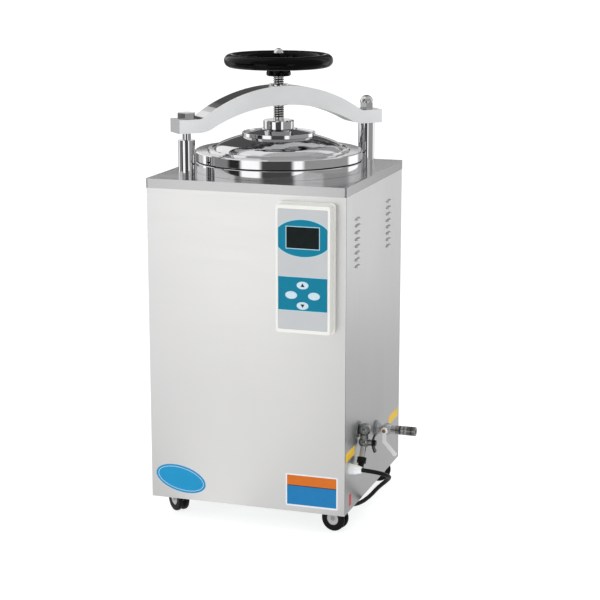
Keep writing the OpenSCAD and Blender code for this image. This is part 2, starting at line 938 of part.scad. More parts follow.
module screw_bush() {
  bush_low = z_arch - bush_flange_h;
  in_frame() color("darkkhaki")
    difference() {
      union() {
        translate([0, 0, bush_low])
          cylinder(h = z_arch_top + bush_flange_h - bush_low, r = bush_d / 2);
        translate([0, 0, z_arch_top + seam])
          cylinder(h = bush_flange_h, r = bush_d / 2 + bush_flange_w);
      }
      translate([0, 0, bush_low - cut])
        cylinder(h = yoke_crown_t + yoke_rise, r = screw_d / 2 + run_fit);
    }
}

// Points along the dome from its crown down to its base, on a shell offset inwards by depth
function dome(depth, base_angle) = concat(
  arc(0, crown_cz, crown_r - depth, 0, crown_angle),
  [for (i = [1:arc_steps]) let (a = crown_angle + (base_angle - crown_angle) * i / arc_steps)
    [knuckle_x + (knuckle_r - depth) * sin(a), knuckle_cz + (knuckle_r - depth) * cos(a)]]);

// Dished lid with a thick rim, a raised ridge round the dome and a groove for the seal
module lid_shell() {
  foot_angle = acos((z_rim + rim_step - knuckle_cz) / knuckle_r);
  groove_in = seal_d / 2 - seal_w / 2 - seam;
  groove_out = seal_d / 2 + seal_w / 2 + seam;
  ridge_r = dome_base_r + rim_bevel;
  in_frame() color("gainsboro")
    rotate_extrude()
      polygon(concat(
        dome(0, foot_angle),
        [[ridge_r, z_rim + rim_step], [ridge_r + rim_bevel, z_rim + rim_step + ridge_h],
        [ridge_r + ridge_w - rim_bevel, z_rim + rim_step + ridge_h],
        [ridge_r + ridge_w, z_rim], [flange_r - rim_bevel, z_rim],
        [flange_r, z_rim - rim_bevel], [flange_r, z_lid + rim_bevel / 2],
        [flange_r - rim_bevel / 2, z_lid],
        [groove_out, z_lid], [groove_out, z_lid + seal_groove],
        [groove_in, z_lid + seal_groove], [groove_in, z_lid],
        [knuckle_x + knuckle_r - lid_t, z_lid]],
        reversed(dome(lid_t, 90))));
}

module lid_seal() {
  low = z_flange + play;
  in_frame() color("black")
    rotate_extrude()
      translate([seal_d / 2 - seal_w / 2, low])
        square([seal_w, z_lid + seal_groove - seam - low]);
}

// Shallow dish over the crown with an upturned rim and a flat seat for the collar
module lid_disc() {
  r = crown_r + seam;
  edge = asin((disc_d / 2) / r);
  disc_r = disc_d / 2;
  z_edge = crown_cz + r * cos(edge);
  in_frame() color("silver")
    rotate_extrude()
      polygon(concat(
        arc(0, crown_cz, r, 0, edge),
        [[disc_r, z_edge + disc_t + disc_rim_h],
        [disc_r - disc_t / 2, z_edge + disc_t + disc_rim_h],
        [disc_r - disc_t, z_edge + disc_t + rim_bevel / 2],
        [disc_flat_r + disc_t, z_disc + disc_t / 2],
        [disc_flat_r, z_disc + disc_t], [0, z_disc + disc_t]]));
}

// Collar that captures the screw's foot, so that the screw turns in it and lifts the lid
module foot_collar() {
  in_frame() color("silver")
    rotate_extrude()
      polygon([[0, z_collar], [collar_d / 2 - rim_bevel, z_collar],
        [collar_d / 2, z_collar + rim_bevel],
        [collar_d / 2, z_collar_top - rim_bevel],
        [collar_d / 2 - rim_bevel, z_collar_top],
        [screw_d / 2 + run_fit, z_collar_top],
        [screw_d / 2 + run_fit, z_foot + foot_h + play],
        [foot_d / 2 + play, z_foot + foot_h + play],
        [foot_d / 2 + play, z_collar + collar_floor], [0, z_collar + collar_floor]]);
}

// Clamp screw with a disc foot below and a stud for the handwheel's nut above
module clamp_screw() {
  in_frame() color("gray") {
    translate([0, 0, z_foot])
      cylinder(h = foot_h, r = foot_d / 2);
    translate([0, 0, z_foot])
      cylinder(h = z_hub_top - z_foot, r = screw_d / 2);
    translate([0, 0, z_hub_top])
      cylinder(h = stud_up, r = wheel_nut_w / 4);
  }
}

// Handwheel: round rim, turned hub and round spokes that slope up from hub to rim
module handwheel() {
  hub_r = hub_d / 2;
  neck_r = hub_r * hub_neck_share;
  spoke_low = z_hub + hub_h / 2;
  spoke_run = rim_r - neck_r + rim_d / 4;
  spoke_rise = z_wheel - spoke_low;
  in_frame() color("black")
    difference() {
      union() {
        rotate_extrude()
          translate([rim_r, z_wheel])
            circle(rim_d / 2);
        rotate_extrude()
          polygon([[0, z_hub], [hub_r - rim_bevel, z_hub],
            [hub_r, z_hub + rim_bevel],
            [hub_r, z_hub + hub_h * hub_lip_share],
            [neck_r, z_hub + hub_h * 2 * hub_lip_share],
            [neck_r, z_hub_top - rim_bevel], [neck_r - rim_bevel, z_hub_top],
            [0, z_hub_top]]);
        for (i = [0:spoke_n - 1])
          rotate([0, 0, 90 + 360 * i / spoke_n])
            translate([neck_r - rim_d / 4, 0, spoke_low])
              rotate([0, 90 - atan(spoke_rise / spoke_run), 0])
                cylinder(h = sqrt(spoke_run * spoke_run + spoke_rise * spoke_rise),
                  r = spoke_d / 2);
      }
      translate([0, 0, z_hub - cut])
        cylinder(h = hub_h + 2 * cut, r = screw_d / 2 + run_fit);
    }
}

module wheel_nut() {
  in_frame() color("silver")
    translate([0, 0, z_hub_top + seam])
      difference() {
        union() {
          cylinder(h = wheel_nut_h, r = wheel_nut_w / 2 + cut, $fn = 6);
          translate([0, 0, wheel_nut_h])
            intersection() {
              sphere(wheel_nut_dome);
              cylinder(h = wheel_nut_dome, r = wheel_nut_dome);
            }
        }
        translate([0, 0, -cut])
          cylinder(h = stud_up + cut + seam, r = wheel_nut_w / 4 + seam);
      }
}

// Control box: a shell that is open at its back, with a mounting flange and a front pocket
module control_housing() {
  mid_z = floor_gap + box_z + box_h / 2;
  in_frame() color("ivory")
    translate([membrane_mid_x, 0, mid_z])
      difference() {
        union() {
          facing_front(-box_front, box_d - seam)
            round_rect(box_w, box_h, box_corner_r);
          facing_front(-face_y - seam - box_flange_t, box_flange_t)
            round_rect(box_w + 2 * box_flange, box_h + 2 * box_flange,
              box_corner_r + box_flange);
        }
        facing_front(-box_front + pocket_d + box_t, box_d)
          round_rect(box_w - 2 * box_t, box_h - 2 * box_t, box_corner_r - box_t);
        facing_front(-box_front - cut, pocket_d + cut)
          round_rect(membrane_w + 2 * seam, membrane_h + 2 * seam, membrane_r);
      }
}

// Moves an outline to the keys' middle, and on to one key
module at_keys(place = [0, 0]) {
  translate([membrane_mid_x + place[0], 0, membrane_top - keys_drop + place[1]])
    children();
}

// Printed membrane with a window for the display and an oval hole for each key
module membrane_panel() {
  front = -box_front + pocket_d - seam - membrane_t;
  in_frame() color("silver")
    difference() {
      translate([membrane_mid_x, 0, membrane_top - membrane_h / 2])
        facing_front(front, membrane_t)
          round_rect(membrane_w, membrane_h, membrane_r);
      translate([membrane_mid_x, 0, membrane_top - display_drop])
        facing_front(front - cut, membrane_t + 2 * cut)
          square([display_w + 2 * seam, display_h + 2 * seam], center = true);
      for (place = key_places)
        at_keys(place)
          facing_front(front - cut, membrane_t + 2 * cut)
            polygon(oval(key_w + 2 * key_side_gap, key_h + 2 * key_side_gap));
    }
}

module display_window() {
  front = -box_front + pocket_d - seam - membrane_t;
  in_frame() color("darkslategray")
    translate([membrane_mid_x, 0, membrane_top - display_drop])
      facing_front(front, membrane_t)
        square([display_w, display_h], center = true);
}

module key_cap(place) {
  in_frame() color("aliceblue")
    at_keys(place)
      facing_front(-box_front - key_proud, key_t)
        polygon(oval(key_w, key_h));
}

module key_up() key_cap(key_places[0]);

module key_down() key_cap(key_places[1]);

module key_left() key_cap(key_places[2]);
module key_right() key_cap(key_places[3]);

// Circuit board on four pillars behind the control box's front
module control_board() {
  back_of_front = -box_front + pocket_d + box_t + seam;
  board_w = box_w - 2 * board_edge;
  board_h = box_h - 2 * board_edge;
  in_frame() color("darkgreen")
    translate([membrane_mid_x, 0, floor_gap + box_z + box_h / 2]) {
      facing_front(back_of_front + board_stand, board_t)
        square([board_w, board_h], center = true);
      for (sx = [-1, 1])
        for (sz = [-1, 1])
          translate([sx * (board_w / 2 - board_edge / 2), 0,
            sz * (board_h / 2 - board_edge / 2)])
            facing_front(back_of_front, board_stand)
              circle(board_stand_r);
    }
}

// Drain valve: shank through the panel, ball elbow, neck, plug body and stem boss
module drain_valve() {
  in_frame() color("silver")
    translate([0, -drain_y, 0]) {
      difference() {
        union() {
          translate([0, 0, z_drain]) {
            bar_x(inner_x - shank_in, elbow_x, shank_r);
            bar_x(face_x + washer_t + 2 * seam, elbow_x, shank_r + seam * 2);
            translate([elbow_x, 0, 0])
              sphere(elbow_d / 2);
          }
          translate([elbow_x, 0, z_plug])
            cylinder(h = drain_drop, r = shank_r);
          translate([elbow_x, 0, z_plug])
            sphere(plug_body_d / 2);
          translate([0, 0, z_plug])
            bar_x(elbow_x, elbow_x + drain_stem_l - wing_t - play, stem_r + 2);
        }
        translate([0, 0, z_plug])
          bar_x(elbow_x + plug_body_d / 4, elbow_x + drain_stem_l, stem_r - 1 + run_fit);
        translate([elbow_x, 0, z_plug])
          rotate([-spout_lean, 0, 0])
            translate([0, 0, -plug_body_d])
              cylinder(h = plug_body_d - stem_r - seam * 2, r = spout_d / 2 + seam);
      }
    }
}

// Places something on the leaning spout, pointing down its axis from the plug body's middle
module along_spout() {
  translate([elbow_x, -drain_y, z_plug])
    rotate([-spout_lean, 0, 0])
      rotate([180, 0, 0])
        children();
}

module drain_spout() {
  in_frame() color("silver")
    along_spout()
      difference() {
        translate([0, 0, stem_r + 3 * seam])
          cylinder(h = spout_l - stem_r - 3 * seam, r = spout_d / 2);
        translate([0, 0, stem_r + 2 * sheet_t])
          cylinder(h = spout_l, r = spout_d / 2 - 2 * sheet_t);
      }
}

// Hose tail that screws onto the spout: a round collar and a smooth end for the hose
module drain_hose_tail() {
  in_frame() color("black")
    along_spout()
      translate([0, 0, spout_l + seam])
        difference() {
          union() {
            cylinder(h = tail_collar_l, r = tail_collar_r);
            translate([0, 0, tail_collar_l])
              cylinder(h = tail_l, r = tail_d / 2);
          }
          translate([0, 0, -cut])
            cylinder(h = spout_l + tail_l, r = spout_d / 2 - 2 * sheet_t);
        }
}

// Wing handle that turns on the stem of the drain valve, cupped away from the cabinet
module drain_handle() {
  handle_x = elbow_x + drain_stem_l;
  in_frame() color("dimgray")
    translate([0, -drain_y, z_plug]) {
      bar_x(elbow_x + plug_body_d / 4 + play, handle_x, stem_r - 1);
      bar_x(handle_x - wing_t, handle_x, wing_nut_r + wing_t / 2);
      translate([handle_x, 0, 0])
        rotate([0, 90, 0])
          cylinder(h = wing_nut_h, r = wing_nut_r, $fn = 6);
      intersection() {
        translate([handle_x - wing_t + cup_r(), 0, 0])
          rotate([90, 0, 0])
            difference() {
              cylinder(h = wing_w, r = cup_r(), center = true);
              cylinder(h = wing_w + cut, r = cup_r() - wing_t, center = true);
            }
        translate([handle_x - wing_t, -wing_w / 2, -wing_span / 2])
          cube([wing_cup + wing_t, wing_w, wing_span]);
      }
    }
}

// Radius of the wing handle's curve, from its span and how far its tips stand out
function cup_r() = (wing_span * wing_span / 4 + wing_cup * wing_cup) / (2 * wing_cup);

// Pipe that falls from the dish and bends out to a valve's shank
module bent_pipe(x, y, z_low, z_high) {
  out = inner_x - shank_in - seam;
  translate([x, y, z_low + pipe_bend])
    cylinder(h = z_high - z_low - pipe_bend, r = pipe_r);
  translate([x + pipe_bend, y, z_low + pipe_bend])
    rotate([-90, 180, 0])
      rotate_extrude(angle = -90)
        translate([pipe_bend, 0])
          circle(pipe_r);
  translate([0, y, z_low])
    bar_x(x + pipe_bend, out, pipe_r);
}

module drain_pipe() {
  in_frame() color("peru")
    bent_pipe(drain_pipe_x, -drain_y, z_drain, dish_level(drain_pipe_x, drain_y));
}

// Height of the dish's upper face at a place
function dish_level(x, y) =
  z_tangent - dish_h * sqrt(1 - (x * x + y * y) / (vessel_r * vessel_r));

module exhaust_pipe() {
  in_frame() color("peru")
    bent_pipe(exhaust_pipe_x, exhaust_y, z_exhaust,
      dish_level(exhaust_pipe_x, exhaust_y));
}

// Spring loaded relief valve that stands on the exhaust pipe inside the cabinet
module safety_valve() {
  in_frame() color("goldenrod")
    translate([safety_x, exhaust_y, z_exhaust])
      difference() {
        union() {
          cylinder(h = pipe_r + seam + safety_h / 2, r = safety_r, $fn = 6);
          cylinder(h = pipe_r + safety_h, r = safety_r * hub_neck_share - seam);
          translate([0, 0, pipe_r + safety_h])
            cylinder(h = stem_r, r = safety_r);
        }
        bar_x(-safety_r - cut, safety_r + cut, pipe_r + seam);
      }
}

// Exhaust valve: shank, hexagon, ball body, outlet hexagon and stem boss towards the front
module exhaust_valve() {
  in_frame() color("silver")
    translate([0, exhaust_y, z_exhaust])
      difference() {
        union() {
          bar_x(inner_x - shank_in, ball_x, shank_r);
          translate([face_x + washer_t + 2 * seam, 0, 0])
            rotate([0, 90, 0])
              cylinder(h = hex_l, r = hex_r, $fn = 6);
          translate([ball_x, 0, 0])
            rotate([0, 90, 0])
              sphere(ball_body_d / 2);
          translate([ball_x, 0, 0])
            rotate([0, 90, 0])
              cylinder(h = ball_out - shank_r / 2 - seam, r = shank_r + 2 * seam);
          translate([ball_x, -ball_body_d / 4, exhaust_stem_z])
            rotate([90, 0, 0])
              cylinder(h = ball_body_d / 4 + exhaust_stem_l - play, r = stem_r + 2);
        }
        translate([ball_x, -ball_body_d / 4, exhaust_stem_z])
          rotate([90, 0, 0])
            cylinder(h = ball_body_d, r = stem_r - 1 + run_fit);
        bar_x(ball_x + ball_body_d / 4, ball_x + ball_out, nozzle_bore);
      }
}

// Ribbed outlet nozzle with a through bore
module exhaust_nozzle() {
  nozzle_r = nozzle_d / 2;
  start = ball_x + ball_out - shank_r / 2;
  in_frame() color("silver")
    translate([0, exhaust_y, z_exhaust])
      difference() {
        bar_x(start, start + nozzle_l, nozzle_r);
        bar_x(start - cut, start + nozzle_l + cut, nozzle_bore);
        for (i = [1:rib_n])
          translate([start + rib_pitch * i, 0, 0])
            rotate([0, 90, 0])
              difference() {
                cylinder(h = rib_w, r = nozzle_r + cut);
                translate([0, 0, -cut])
                  cylinder(h = rib_w + 2 * cut, r = nozzle_r - rib_depth);
              }
      }
}

// Flat lever on the exhaust valve's stem: it hangs down, then kicks outwards
module exhaust_lever() {
  in_frame() color("whitesmoke")
    translate([ball_x, exhaust_y - ball_body_d / 2 - exhaust_stem_l,
      z_exhaust + exhaust_stem_z])
      rotate([90, 0, 0]) {
        translate([0, 0, -ball_body_d / 4 - exhaust_stem_l + play])
          cylinder(h = ball_body_d / 4 + exhaust_stem_l - play, r = stem_r - 1);
        cylinder(h = lever_t, r = lever_eye_r);
        translate([0, 0, lever_t])
          cylinder(h = lever_t, r = stem_r, $fn = 6);
        translate([-lever_w / 2, -lever_drop, 0])
          cube([lever_w, lever_drop, lever_t]);
        translate([0, -lever_drop, 0]) {
          cylinder(h = lever_t, r = lever_end_r);
          rotate([0, 0, lever_bend])
            translate([-lever_w / 2, -lever_tip, 0]) {
              cube([lever_w, lever_tip, lever_t]);
              translate([lever_w / 2, 0, 0])
                cylinder(h = lever_t, r = lever_end_r);
            }
        }
      }
}

// Round cover plates where the two valves pass through the panel
module valve_washers() {
  in_frame() color("silver")
    for (p = [[-drain_y, z_drain], [exhaust_y, z_exhaust]])
      translate([0, p[0], p[1]])
        difference() {
          bar_x(face_x + seam, face_x + seam + washer_t, washer_r);
          bar_x(face_x, face_x + 2 * washer_t, shank_r + seam);
        }
}

// Screwed cable gland: a nut, a round body and a tapered tip that the cord leaves
module cable_gland() {
  tip = face_x + gland_l;
  in_frame() color("white")
    translate([0, gland_y, z_gland])
      difference() {
        union() {
          bar_x(inner_x - gland_nut_h, face_x + gland_l / 2, gland_body_r);
          translate([face_x + seam, 0, 0])
            rotate([0, 90, 0])
              cylinder(h = gland_nut_h, r = gland_nut_r, $fn = 6);
          translate([face_x + gland_l / 2, 0, 0])
            rotate([0, 90, 0])
              cylinder(h = gland_l / 2, r1 = gland_body_r, r2 = gland_tip_r);
        }
        bar_x(tip - gland_l / 2, tip + cut, cord_r + seam);
      }
}

// Hand chosen points of the cord from inside the gland's tip to the coil's start
cord_route = [
  [240, -187, 144], [250, -187, 144], [260, -187, 143.5], [273, -185, 142],
  [285, -179, 138.5], [294, -169, 133], [298, -155, 125.5], [295, -140, 116.5],
  [286, -126, 105.5], [273, -113, 92], [258, -100, 76], [243, -88, 58],
  [228, -76, 42], [212, -64, 28], [197, -52, 18], [182, -40, 11],
  [167, -26, 6.5], [152, -10, 4.8], [138, 6, 4.7], [124, 21, 4.7]
];

// One ring of points round a path's point, square to the path there
function ring_at(p, dir, r, sides) =
  let (side = cross([0, 0, 1], dir) / norm(cross([0, 0, 1], dir)),
    up = cross(dir, side))
  [for (k = [0:sides - 1]) let (a = 360 * (k + 0.5) / sides)
    p + r * (cos(a) * side + sin(a) * up)];

// Direction of a path at one of its points
function heading(path, i) =
  let (a = path[max(i - 1, 0)], b = path[min(i + 1, len(path) - 1)])
  (b - a) / norm(b - a);

// Closed tube along a path as one polyhedron
module tube_along(path, dirs, r, sides) {
  n = len(path);
  rings = [for (i = [0:n - 1]) ring_at(path[i], dirs[i], r, sides)];
  points = [for (ring = rings) for (p = ring) p];
  walls = [for (i = [0:n - 2]) for (k = [0:sides - 1])
    let (a = i * sides + k, b = i * sides + (k + 1) % sides)
    each [[a, a + sides, b], [b, a + sides, b + sides]]];
  first = [for (k = [1:sides - 2]) [0, k, k + 1]];
  last = [for (k = [1:sides - 2]) let (e = (n - 1) * sides) [e, e + k + 1, e + k]];
  polyhedron(points, concat(walls, first, last));
}

// Points between a route's own points on a smooth curve through them
function smooth(path, steps) = [for (i = [0:len(path) - 2]) for (j = [0:steps - 1])
  let (p0 = path[max(i - 1, 0)], p1 = path[i], p2 = path[i + 1],
    p3 = path[min(i + 2, len(path) - 1)], t = j / steps)
  (2 * p1 + (p2 - p0) * t + (2 * p0 - 5 * p1 + 4 * p2 - p3) * t * t
    + (3 * p1 - p0 - 3 * p2 + p3) * t * t * t) / 2];

// Coil: half the turns spiral in on the floor, the climb takes half a turn at the middle,
// and the other half spirals out on top
coil_total = coil_turns * 360;
function coil_radius(a) =
  let (from_middle = abs(a - coil_total / 2) / 360)
  coil_start_r + coil_step * (from_middle - coil_turns / 2);
function coil_level(a) =
  let (t = (a - coil_total / 2 + coil_climb / 2) / coil_climb)
  z_lay + coil_step * min(max(t, 0), 1);
function coil_point(a) = [coil_x + coil_radius(a) * cos(coil_begin + a),
  coil_y + coil_radius(a) * sin(coil_begin + a), coil_level(a)];
coil_body = [for (i = [0:coil_turns * coil_rings]) coil_point(i * 360 / coil_rings)];
coil_out_dir = (coil_point(coil_total) - coil_point(coil_total - 1))
  / norm(coil_point(coil_total) - coil_point(coil_total - 1));
coil_in_dir = (coil_point(1) - coil_point(0)) / norm(coil_point(1) - coil_point(0));
coil_path = concat([coil_body[0] - cord_d * coil_in_dir], coil_body,
  [coil_body[len(coil_body) - 1] + coil_lead * coil_out_dir]);
coil_dirs = concat([coil_in_dir, coil_in_dir],
  [for (i = [1:len(coil_body) - 2]) heading(coil_body, i)], [coil_out_dir, coil_out_dir]);
coil_entry = coil_path[0];
coil_exit = coil_path[len(coil_path) - 1];

// Least gap between turns that are more than a third of a turn apart along the coil
coil_least_gap = min([for (i = [0:len(coil_body) - 1]) for (j = [i + 8:len(coil_body) - 1])
  norm(coil_body[i] - coil_body[j])]) - cord_d;
echo(coil_least_gap = coil_least_gap);

// Length along a path's points
function path_length(path) =
  let (steps = [for (i = [1:len(path) - 1]) norm(path[i] - path[i - 1])])
  steps * [for (step = steps) 1];

// Whole route of the free stretch, which runs straight into the coil's first ring
cord_points = concat(cord_route, [coil_entry - cord_d * coil_in_dir, coil_entry - seam * coil_in_dir]);
cord_smooth = concat(smooth(cord_points, 2), [cord_points[len(cord_points) - 1]]);
cord_dirs = concat([[1, 0, 0]],
  [for (i = [1:len(cord_smooth) - 2]) heading(cord_smooth, i)], [coil_in_dir]);

echo(cord_length = path_length(cord_smooth) + path_length(coil_path));

module power_cord() {
  in_frame() color("black")
    tube_along(cord_smooth, cord_dirs, cord_r, cord_sides);
}

module cord_coil() {
  in_frame() color("black")
    tube_along(coil_path, coil_dirs, cord_r, coil_sides);
}

// Moulded plug with three flat pins, which lies on the floor at the coil's free end
module power_plug() {
  turn = atan2(coil_out_dir[1], coil_out_dir[0]);
  plug_h = 2 * (z_lay + coil_step - seam);
  in_frame() color("black")
    translate(coil_exit + seam * coil_out_dir)
      rotate([0, 0, turn]) {
        bar_x(0, plug_neck_l, plug_neck_r);
        translate([plug_neck_l + plug_l / 2, 0, 0])
          rotate([0, 90, 0])
            linear_extrude(plug_l, center = true)
              round_rect(plug_h, plug_w, box_corner_r);
        for (sy = [-1, 1])
          translate([plug_neck_l + plug_l, sy * blade_gap / 2, blade_t * 2])
            rotate([sy * 60, 0, 0])
              translate([blade_l / 2, 0, 0])
                cube([blade_l, blade_w, blade_t], center = true);
        translate([plug_neck_l + plug_l + blade_l / 2, 0, -blade_w])
          cube([blade_l, blade_t, blade_w], center = true);
      }
}

// Mounting plates of the casters, each with its swivel race
module caster_plates() {
  in_frame() color("darkgray")
    for (p = caster_places)
      translate([p[0], p[1], 0])
        difference() {
          union() {
            translate([0, 0, z_plate + plate_t / 2 - seam / 2])
              cube([plate_w, plate_w, plate_t - seam], center = true);
            translate([0, 0, z_race])
              cylinder(h = race_t, r = race_r);
          }
          translate([0, 0, z_race - cut])
            cylinder(h = race_t + plate_t - sheet_t + cut, r = king_r + run_fit);
        }
}

// Places something at caster number i, turned to the way that it rolls
module at_caster(i) {
  translate([caster_places[i][0], caster_places[i][1], 0])
    rotate([0, 0, caster_turns[i]])
      children();
}

// Caster body: crown, king pin, a web between the two wheels and the capped axle
module caster_fork(i) {
  hub_y = caster_gap / 2 + caster_w - hub_dish_t / 2;
  in_frame() color("gray")
    at_caster(i) {
      translate([0, 0, z_fork])
        cylinder(h = crown_t, r = crown_rad);
      translate([0, 0, z_fork])
        cylinder(h = z_plate + plate_t - sheet_t - seam - play - z_fork, r = king_r);
      rotate([90, 0, 0])
        linear_extrude(caster_gap - 2 * web_gap, center = true) {
          polygon([[-web_foot, z_fork + crown_t], [web_foot, z_fork + crown_t],
            [caster_trail + web_eye_r, caster_r], [caster_trail - web_eye_r, caster_r]]);
          translate([caster_trail, caster_r])
            circle(web_eye_r);
        }
      translate([caster_trail, 0, caster_r])
        rotate([90, 0, 0])
          cylinder(h = 2 * (hub_y + cap_gap), r = axle_d / 2, center = true);
      for (side = [-1, 1])
        translate([caster_trail, side * (hub_y + cap_gap + axle_cap_t / 2), caster_r])
          rotate([90, 0, 0])
            cylinder(h = axle_cap_t, r = axle_cap_r, center = true);
    }
}

// The two wheels of a caster, each with a rounded tread and a dished hub on its outer side
module caster_wheel(i) {
  half = caster_w / 2;
  in_frame() color("black")
    at_caster(i)
      for (side = [-1, 1])
        translate([caster_trail, 0, caster_r])
          rotate([90 * side, 0, 0])
            translate([0, 0, caster_gap / 2 + half])
              rotate_extrude()
                polygon(concat(
                  [[axle_d / 2 + run_fit, half - hub_dish_t / 2],
                  [hub_boss_r, half - hub_dish_t / 2], [hub_boss_r, half - hub_dish_t],
                  [hub_dish_r, half - hub_dish_t], [hub_dish_r + hub_dish_t / 2, half]],
                  arc(caster_r - tyre_round, half - tyre_round, tyre_round, 0, 90, 4),
                  arc(caster_r - tyre_round, tyre_round - half, tyre_round, 90, 180, 4),
                  [[axle_d / 2 + run_fit, -half]]));
}

module fork_front_left() caster_fork(0);

module fork_front_right() caster_fork(1);

module fork_rear_left() caster_fork(2);

module fork_rear_right() caster_fork(3);

module wheel_front_left() caster_wheel(0);

module wheel_front_right() caster_wheel(1);

module wheel_rear_left() caster_wheel(2);

module wheel_rear_right() caster_wheel(3);

// Loading basket: plain wall, slotted floor and two lugs for the bail
module basket() {
  z_rim = z_basket + basket_h;
  in_frame() color("silver") {
    difference() {
      translate([0, 0, z_basket])
        cylinder(h = basket_h, r = basket_r);
      translate([0, 0, z_basket + basket_t])
        cylinder(h = basket_h, r = basket_r - basket_t);
      for (i = [-4:4])
        translate([i * basket_r / 5, 0, z_basket])
          cube([basket_slot_w, basket_r, 2 * basket_t + cut], center = true);
    }
    for (side = [-1, 1])
      difference() {
        translate([side * (basket_r + lug_out - lug_t / 2), 0,
          z_rim + (bail_up + lug_over - lug_down) / 2])
          cube([lug_t, lug_w, bail_up + lug_over + lug_down], center = true);
        translate([0, 0, z_bail])
          bar_x(-basket_d, basket_d, bail_wire_r + run_fit);
      }
  }
}

// Half round bail that lies on the rim and swings up as the basket's handle
module basket_bail() {
  in_frame() color("silver")
    translate([0, 0, z_bail]) {
      rotate([0, 0, 180])
        rotate_extrude(angle = 180)
          translate([bail_r, 0])
            circle(bail_wire_r);
      for (side = [0, 180])
        rotate([0, 0, side])
          bar_x(bail_r - bail_wire_r, basket_r + bail_wire_r, bail_wire_r);
    }
}

// Places of the joints and the hose ends, as echoed values
echo(shift = [shift_x, shift_y]);
echo(levels = [z_top, z_flange, z_lid, z_crown, z_collar_top, z_yoke, z_yoke_top, z_arch,
  z_arch_top, z_hub, z_wheel, z_hub_top]);
echo(chamber = [z_tangent, z_basket, z_bail, vessel_r, basket_r, bail_r]);
echo(yoke = [post_at, yoke_half]);
echo(valves = [elbow_x, z_plug, z_drain, ball_x, z_exhaust, x_high]);
echo(valve_y = [-drain_y, exhaust_y - ball_body_d / 2 - exhaust_stem_l, z_exhaust + exhaust_stem_z]);
echo(exhaust_y = exhaust_y);
spout_dir = [0, -sin(spout_lean), -cos(spout_lean)];
tail_from = spout_l + seam + tail_collar_l;
echo(tail = [[elbow_x, -drain_y, z_plug] + (tail_from + tail_l / 2) * spout_dir, spout_dir,
  tail_d / 2, tail_l]);
rib_end = rib_pitch * rib_n + rib_w;
echo(nozzle = [x_high - (nozzle_l - rib_end) / 2, nozzle_d / 2, nozzle_l - rib_end]);
echo(travels = [key_travel, lid_lift]);
echo(casters = [caster_r, caster_trail, caster_places, caster_turns]);
echo(coil = [coil_entry, coil_exit, coil_out_dir]);
echo(names = NODES);

base_plate();
front_panel();
left_panel();
right_panel();
rear_panel();
top_cover();
post_carrier();
vessel_flange();
pressure_vessel();
insulation_jacket();
vessel_legs();
heating_element();
heater_grid();
temperature_probe();
pivot_post();
pivot_nut();
latch_post();
control_housing();
membrane_panel();
display_window();
control_board();
drain_valve();
drain_spout();
drain_hose_tail();
drain_pipe();
exhaust_valve();
exhaust_nozzle();
exhaust_pipe();
valve_washers();
safety_valve();
cable_gland();
power_cord();
cord_coil();
power_plug();
caster_plates();
yoke_beam();
screw_bush();
lid_shell();
lid_seal();
lid_disc();
foot_collar();
clamp_screw();
handwheel();
wheel_nut();
drain_handle();
exhaust_lever();
key_up();
key_down();
key_left();
key_right();
basket();
basket_bail();
fork_front_left();
fork_front_right();
fork_rear_left();
fork_rear_right();
wheel_front_left();
wheel_front_right();
wheel_rear_left();
wheel_rear_right();
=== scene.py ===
# %% [markdown]
# # Vertical steam steriliser
#
# This lesson dresses a machine that was drawn in CAD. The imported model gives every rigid
# part in its true place, in metres. Blender adds the cord, the printed and moulded detail,
# the finishes, the light and the camera.

import math

import bmesh
import bpy
from mathutils import Matrix, Vector


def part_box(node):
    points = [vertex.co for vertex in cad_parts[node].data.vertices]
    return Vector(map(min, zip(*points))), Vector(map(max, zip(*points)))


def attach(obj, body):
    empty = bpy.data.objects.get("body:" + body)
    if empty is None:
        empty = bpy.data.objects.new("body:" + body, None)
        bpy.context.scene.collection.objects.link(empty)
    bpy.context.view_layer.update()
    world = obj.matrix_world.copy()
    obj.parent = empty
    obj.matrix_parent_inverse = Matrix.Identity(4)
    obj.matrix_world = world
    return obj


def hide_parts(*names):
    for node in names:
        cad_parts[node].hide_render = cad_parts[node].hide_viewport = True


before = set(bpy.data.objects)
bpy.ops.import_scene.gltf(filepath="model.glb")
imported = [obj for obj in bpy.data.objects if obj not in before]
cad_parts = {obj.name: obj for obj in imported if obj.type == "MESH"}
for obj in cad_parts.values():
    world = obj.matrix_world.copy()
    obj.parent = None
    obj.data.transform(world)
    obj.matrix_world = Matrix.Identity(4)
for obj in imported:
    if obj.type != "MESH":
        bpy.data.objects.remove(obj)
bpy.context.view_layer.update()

# %% [markdown]
# ## Where things are
#
# The machine was drawn round the axis of its pressure chamber. The lid is round and sits on
# that axis, so the middle of its box gives the axis back. Lengths on the real object are
# read in millimetres, and one helper turns them into the frame's metres.

# %% The chamber's axis
MM = 0.001
lid_low, lid_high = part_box("lid_shell")
axis_x = (lid_low.x + lid_high.x) / 2
axis_y = (lid_low.y + lid_high.y) / 2


def at(x, y, z):
    """A point in millimetres from the chamber's axis and the floor, in the frame's metres."""
    return Vector((axis_x + x * MM, axis_y + y * MM, z * MM))


print("chamber axis", round(axis_x, 4), round(axis_y, 4))

# %% [markdown]
# ## The camera
#
# The photograph was taken from the front, a little to the right and from above the lid,
# with a long lens. The place and the lens come from a fit to the cabinet's six visible
# corners. The lens has no shift, so that the camera can also be moved round the machine.

# %% Camera
CAMERA_TURN = 0.3178
CAMERA_DIP = 0.2190
CAMERA_PLACE = (1197.4, -3492.1, 1278.3)
FOCAL_PIXELS = 1698.5
PICTURE_PIXELS = 600
SENSOR_WIDTH = 36

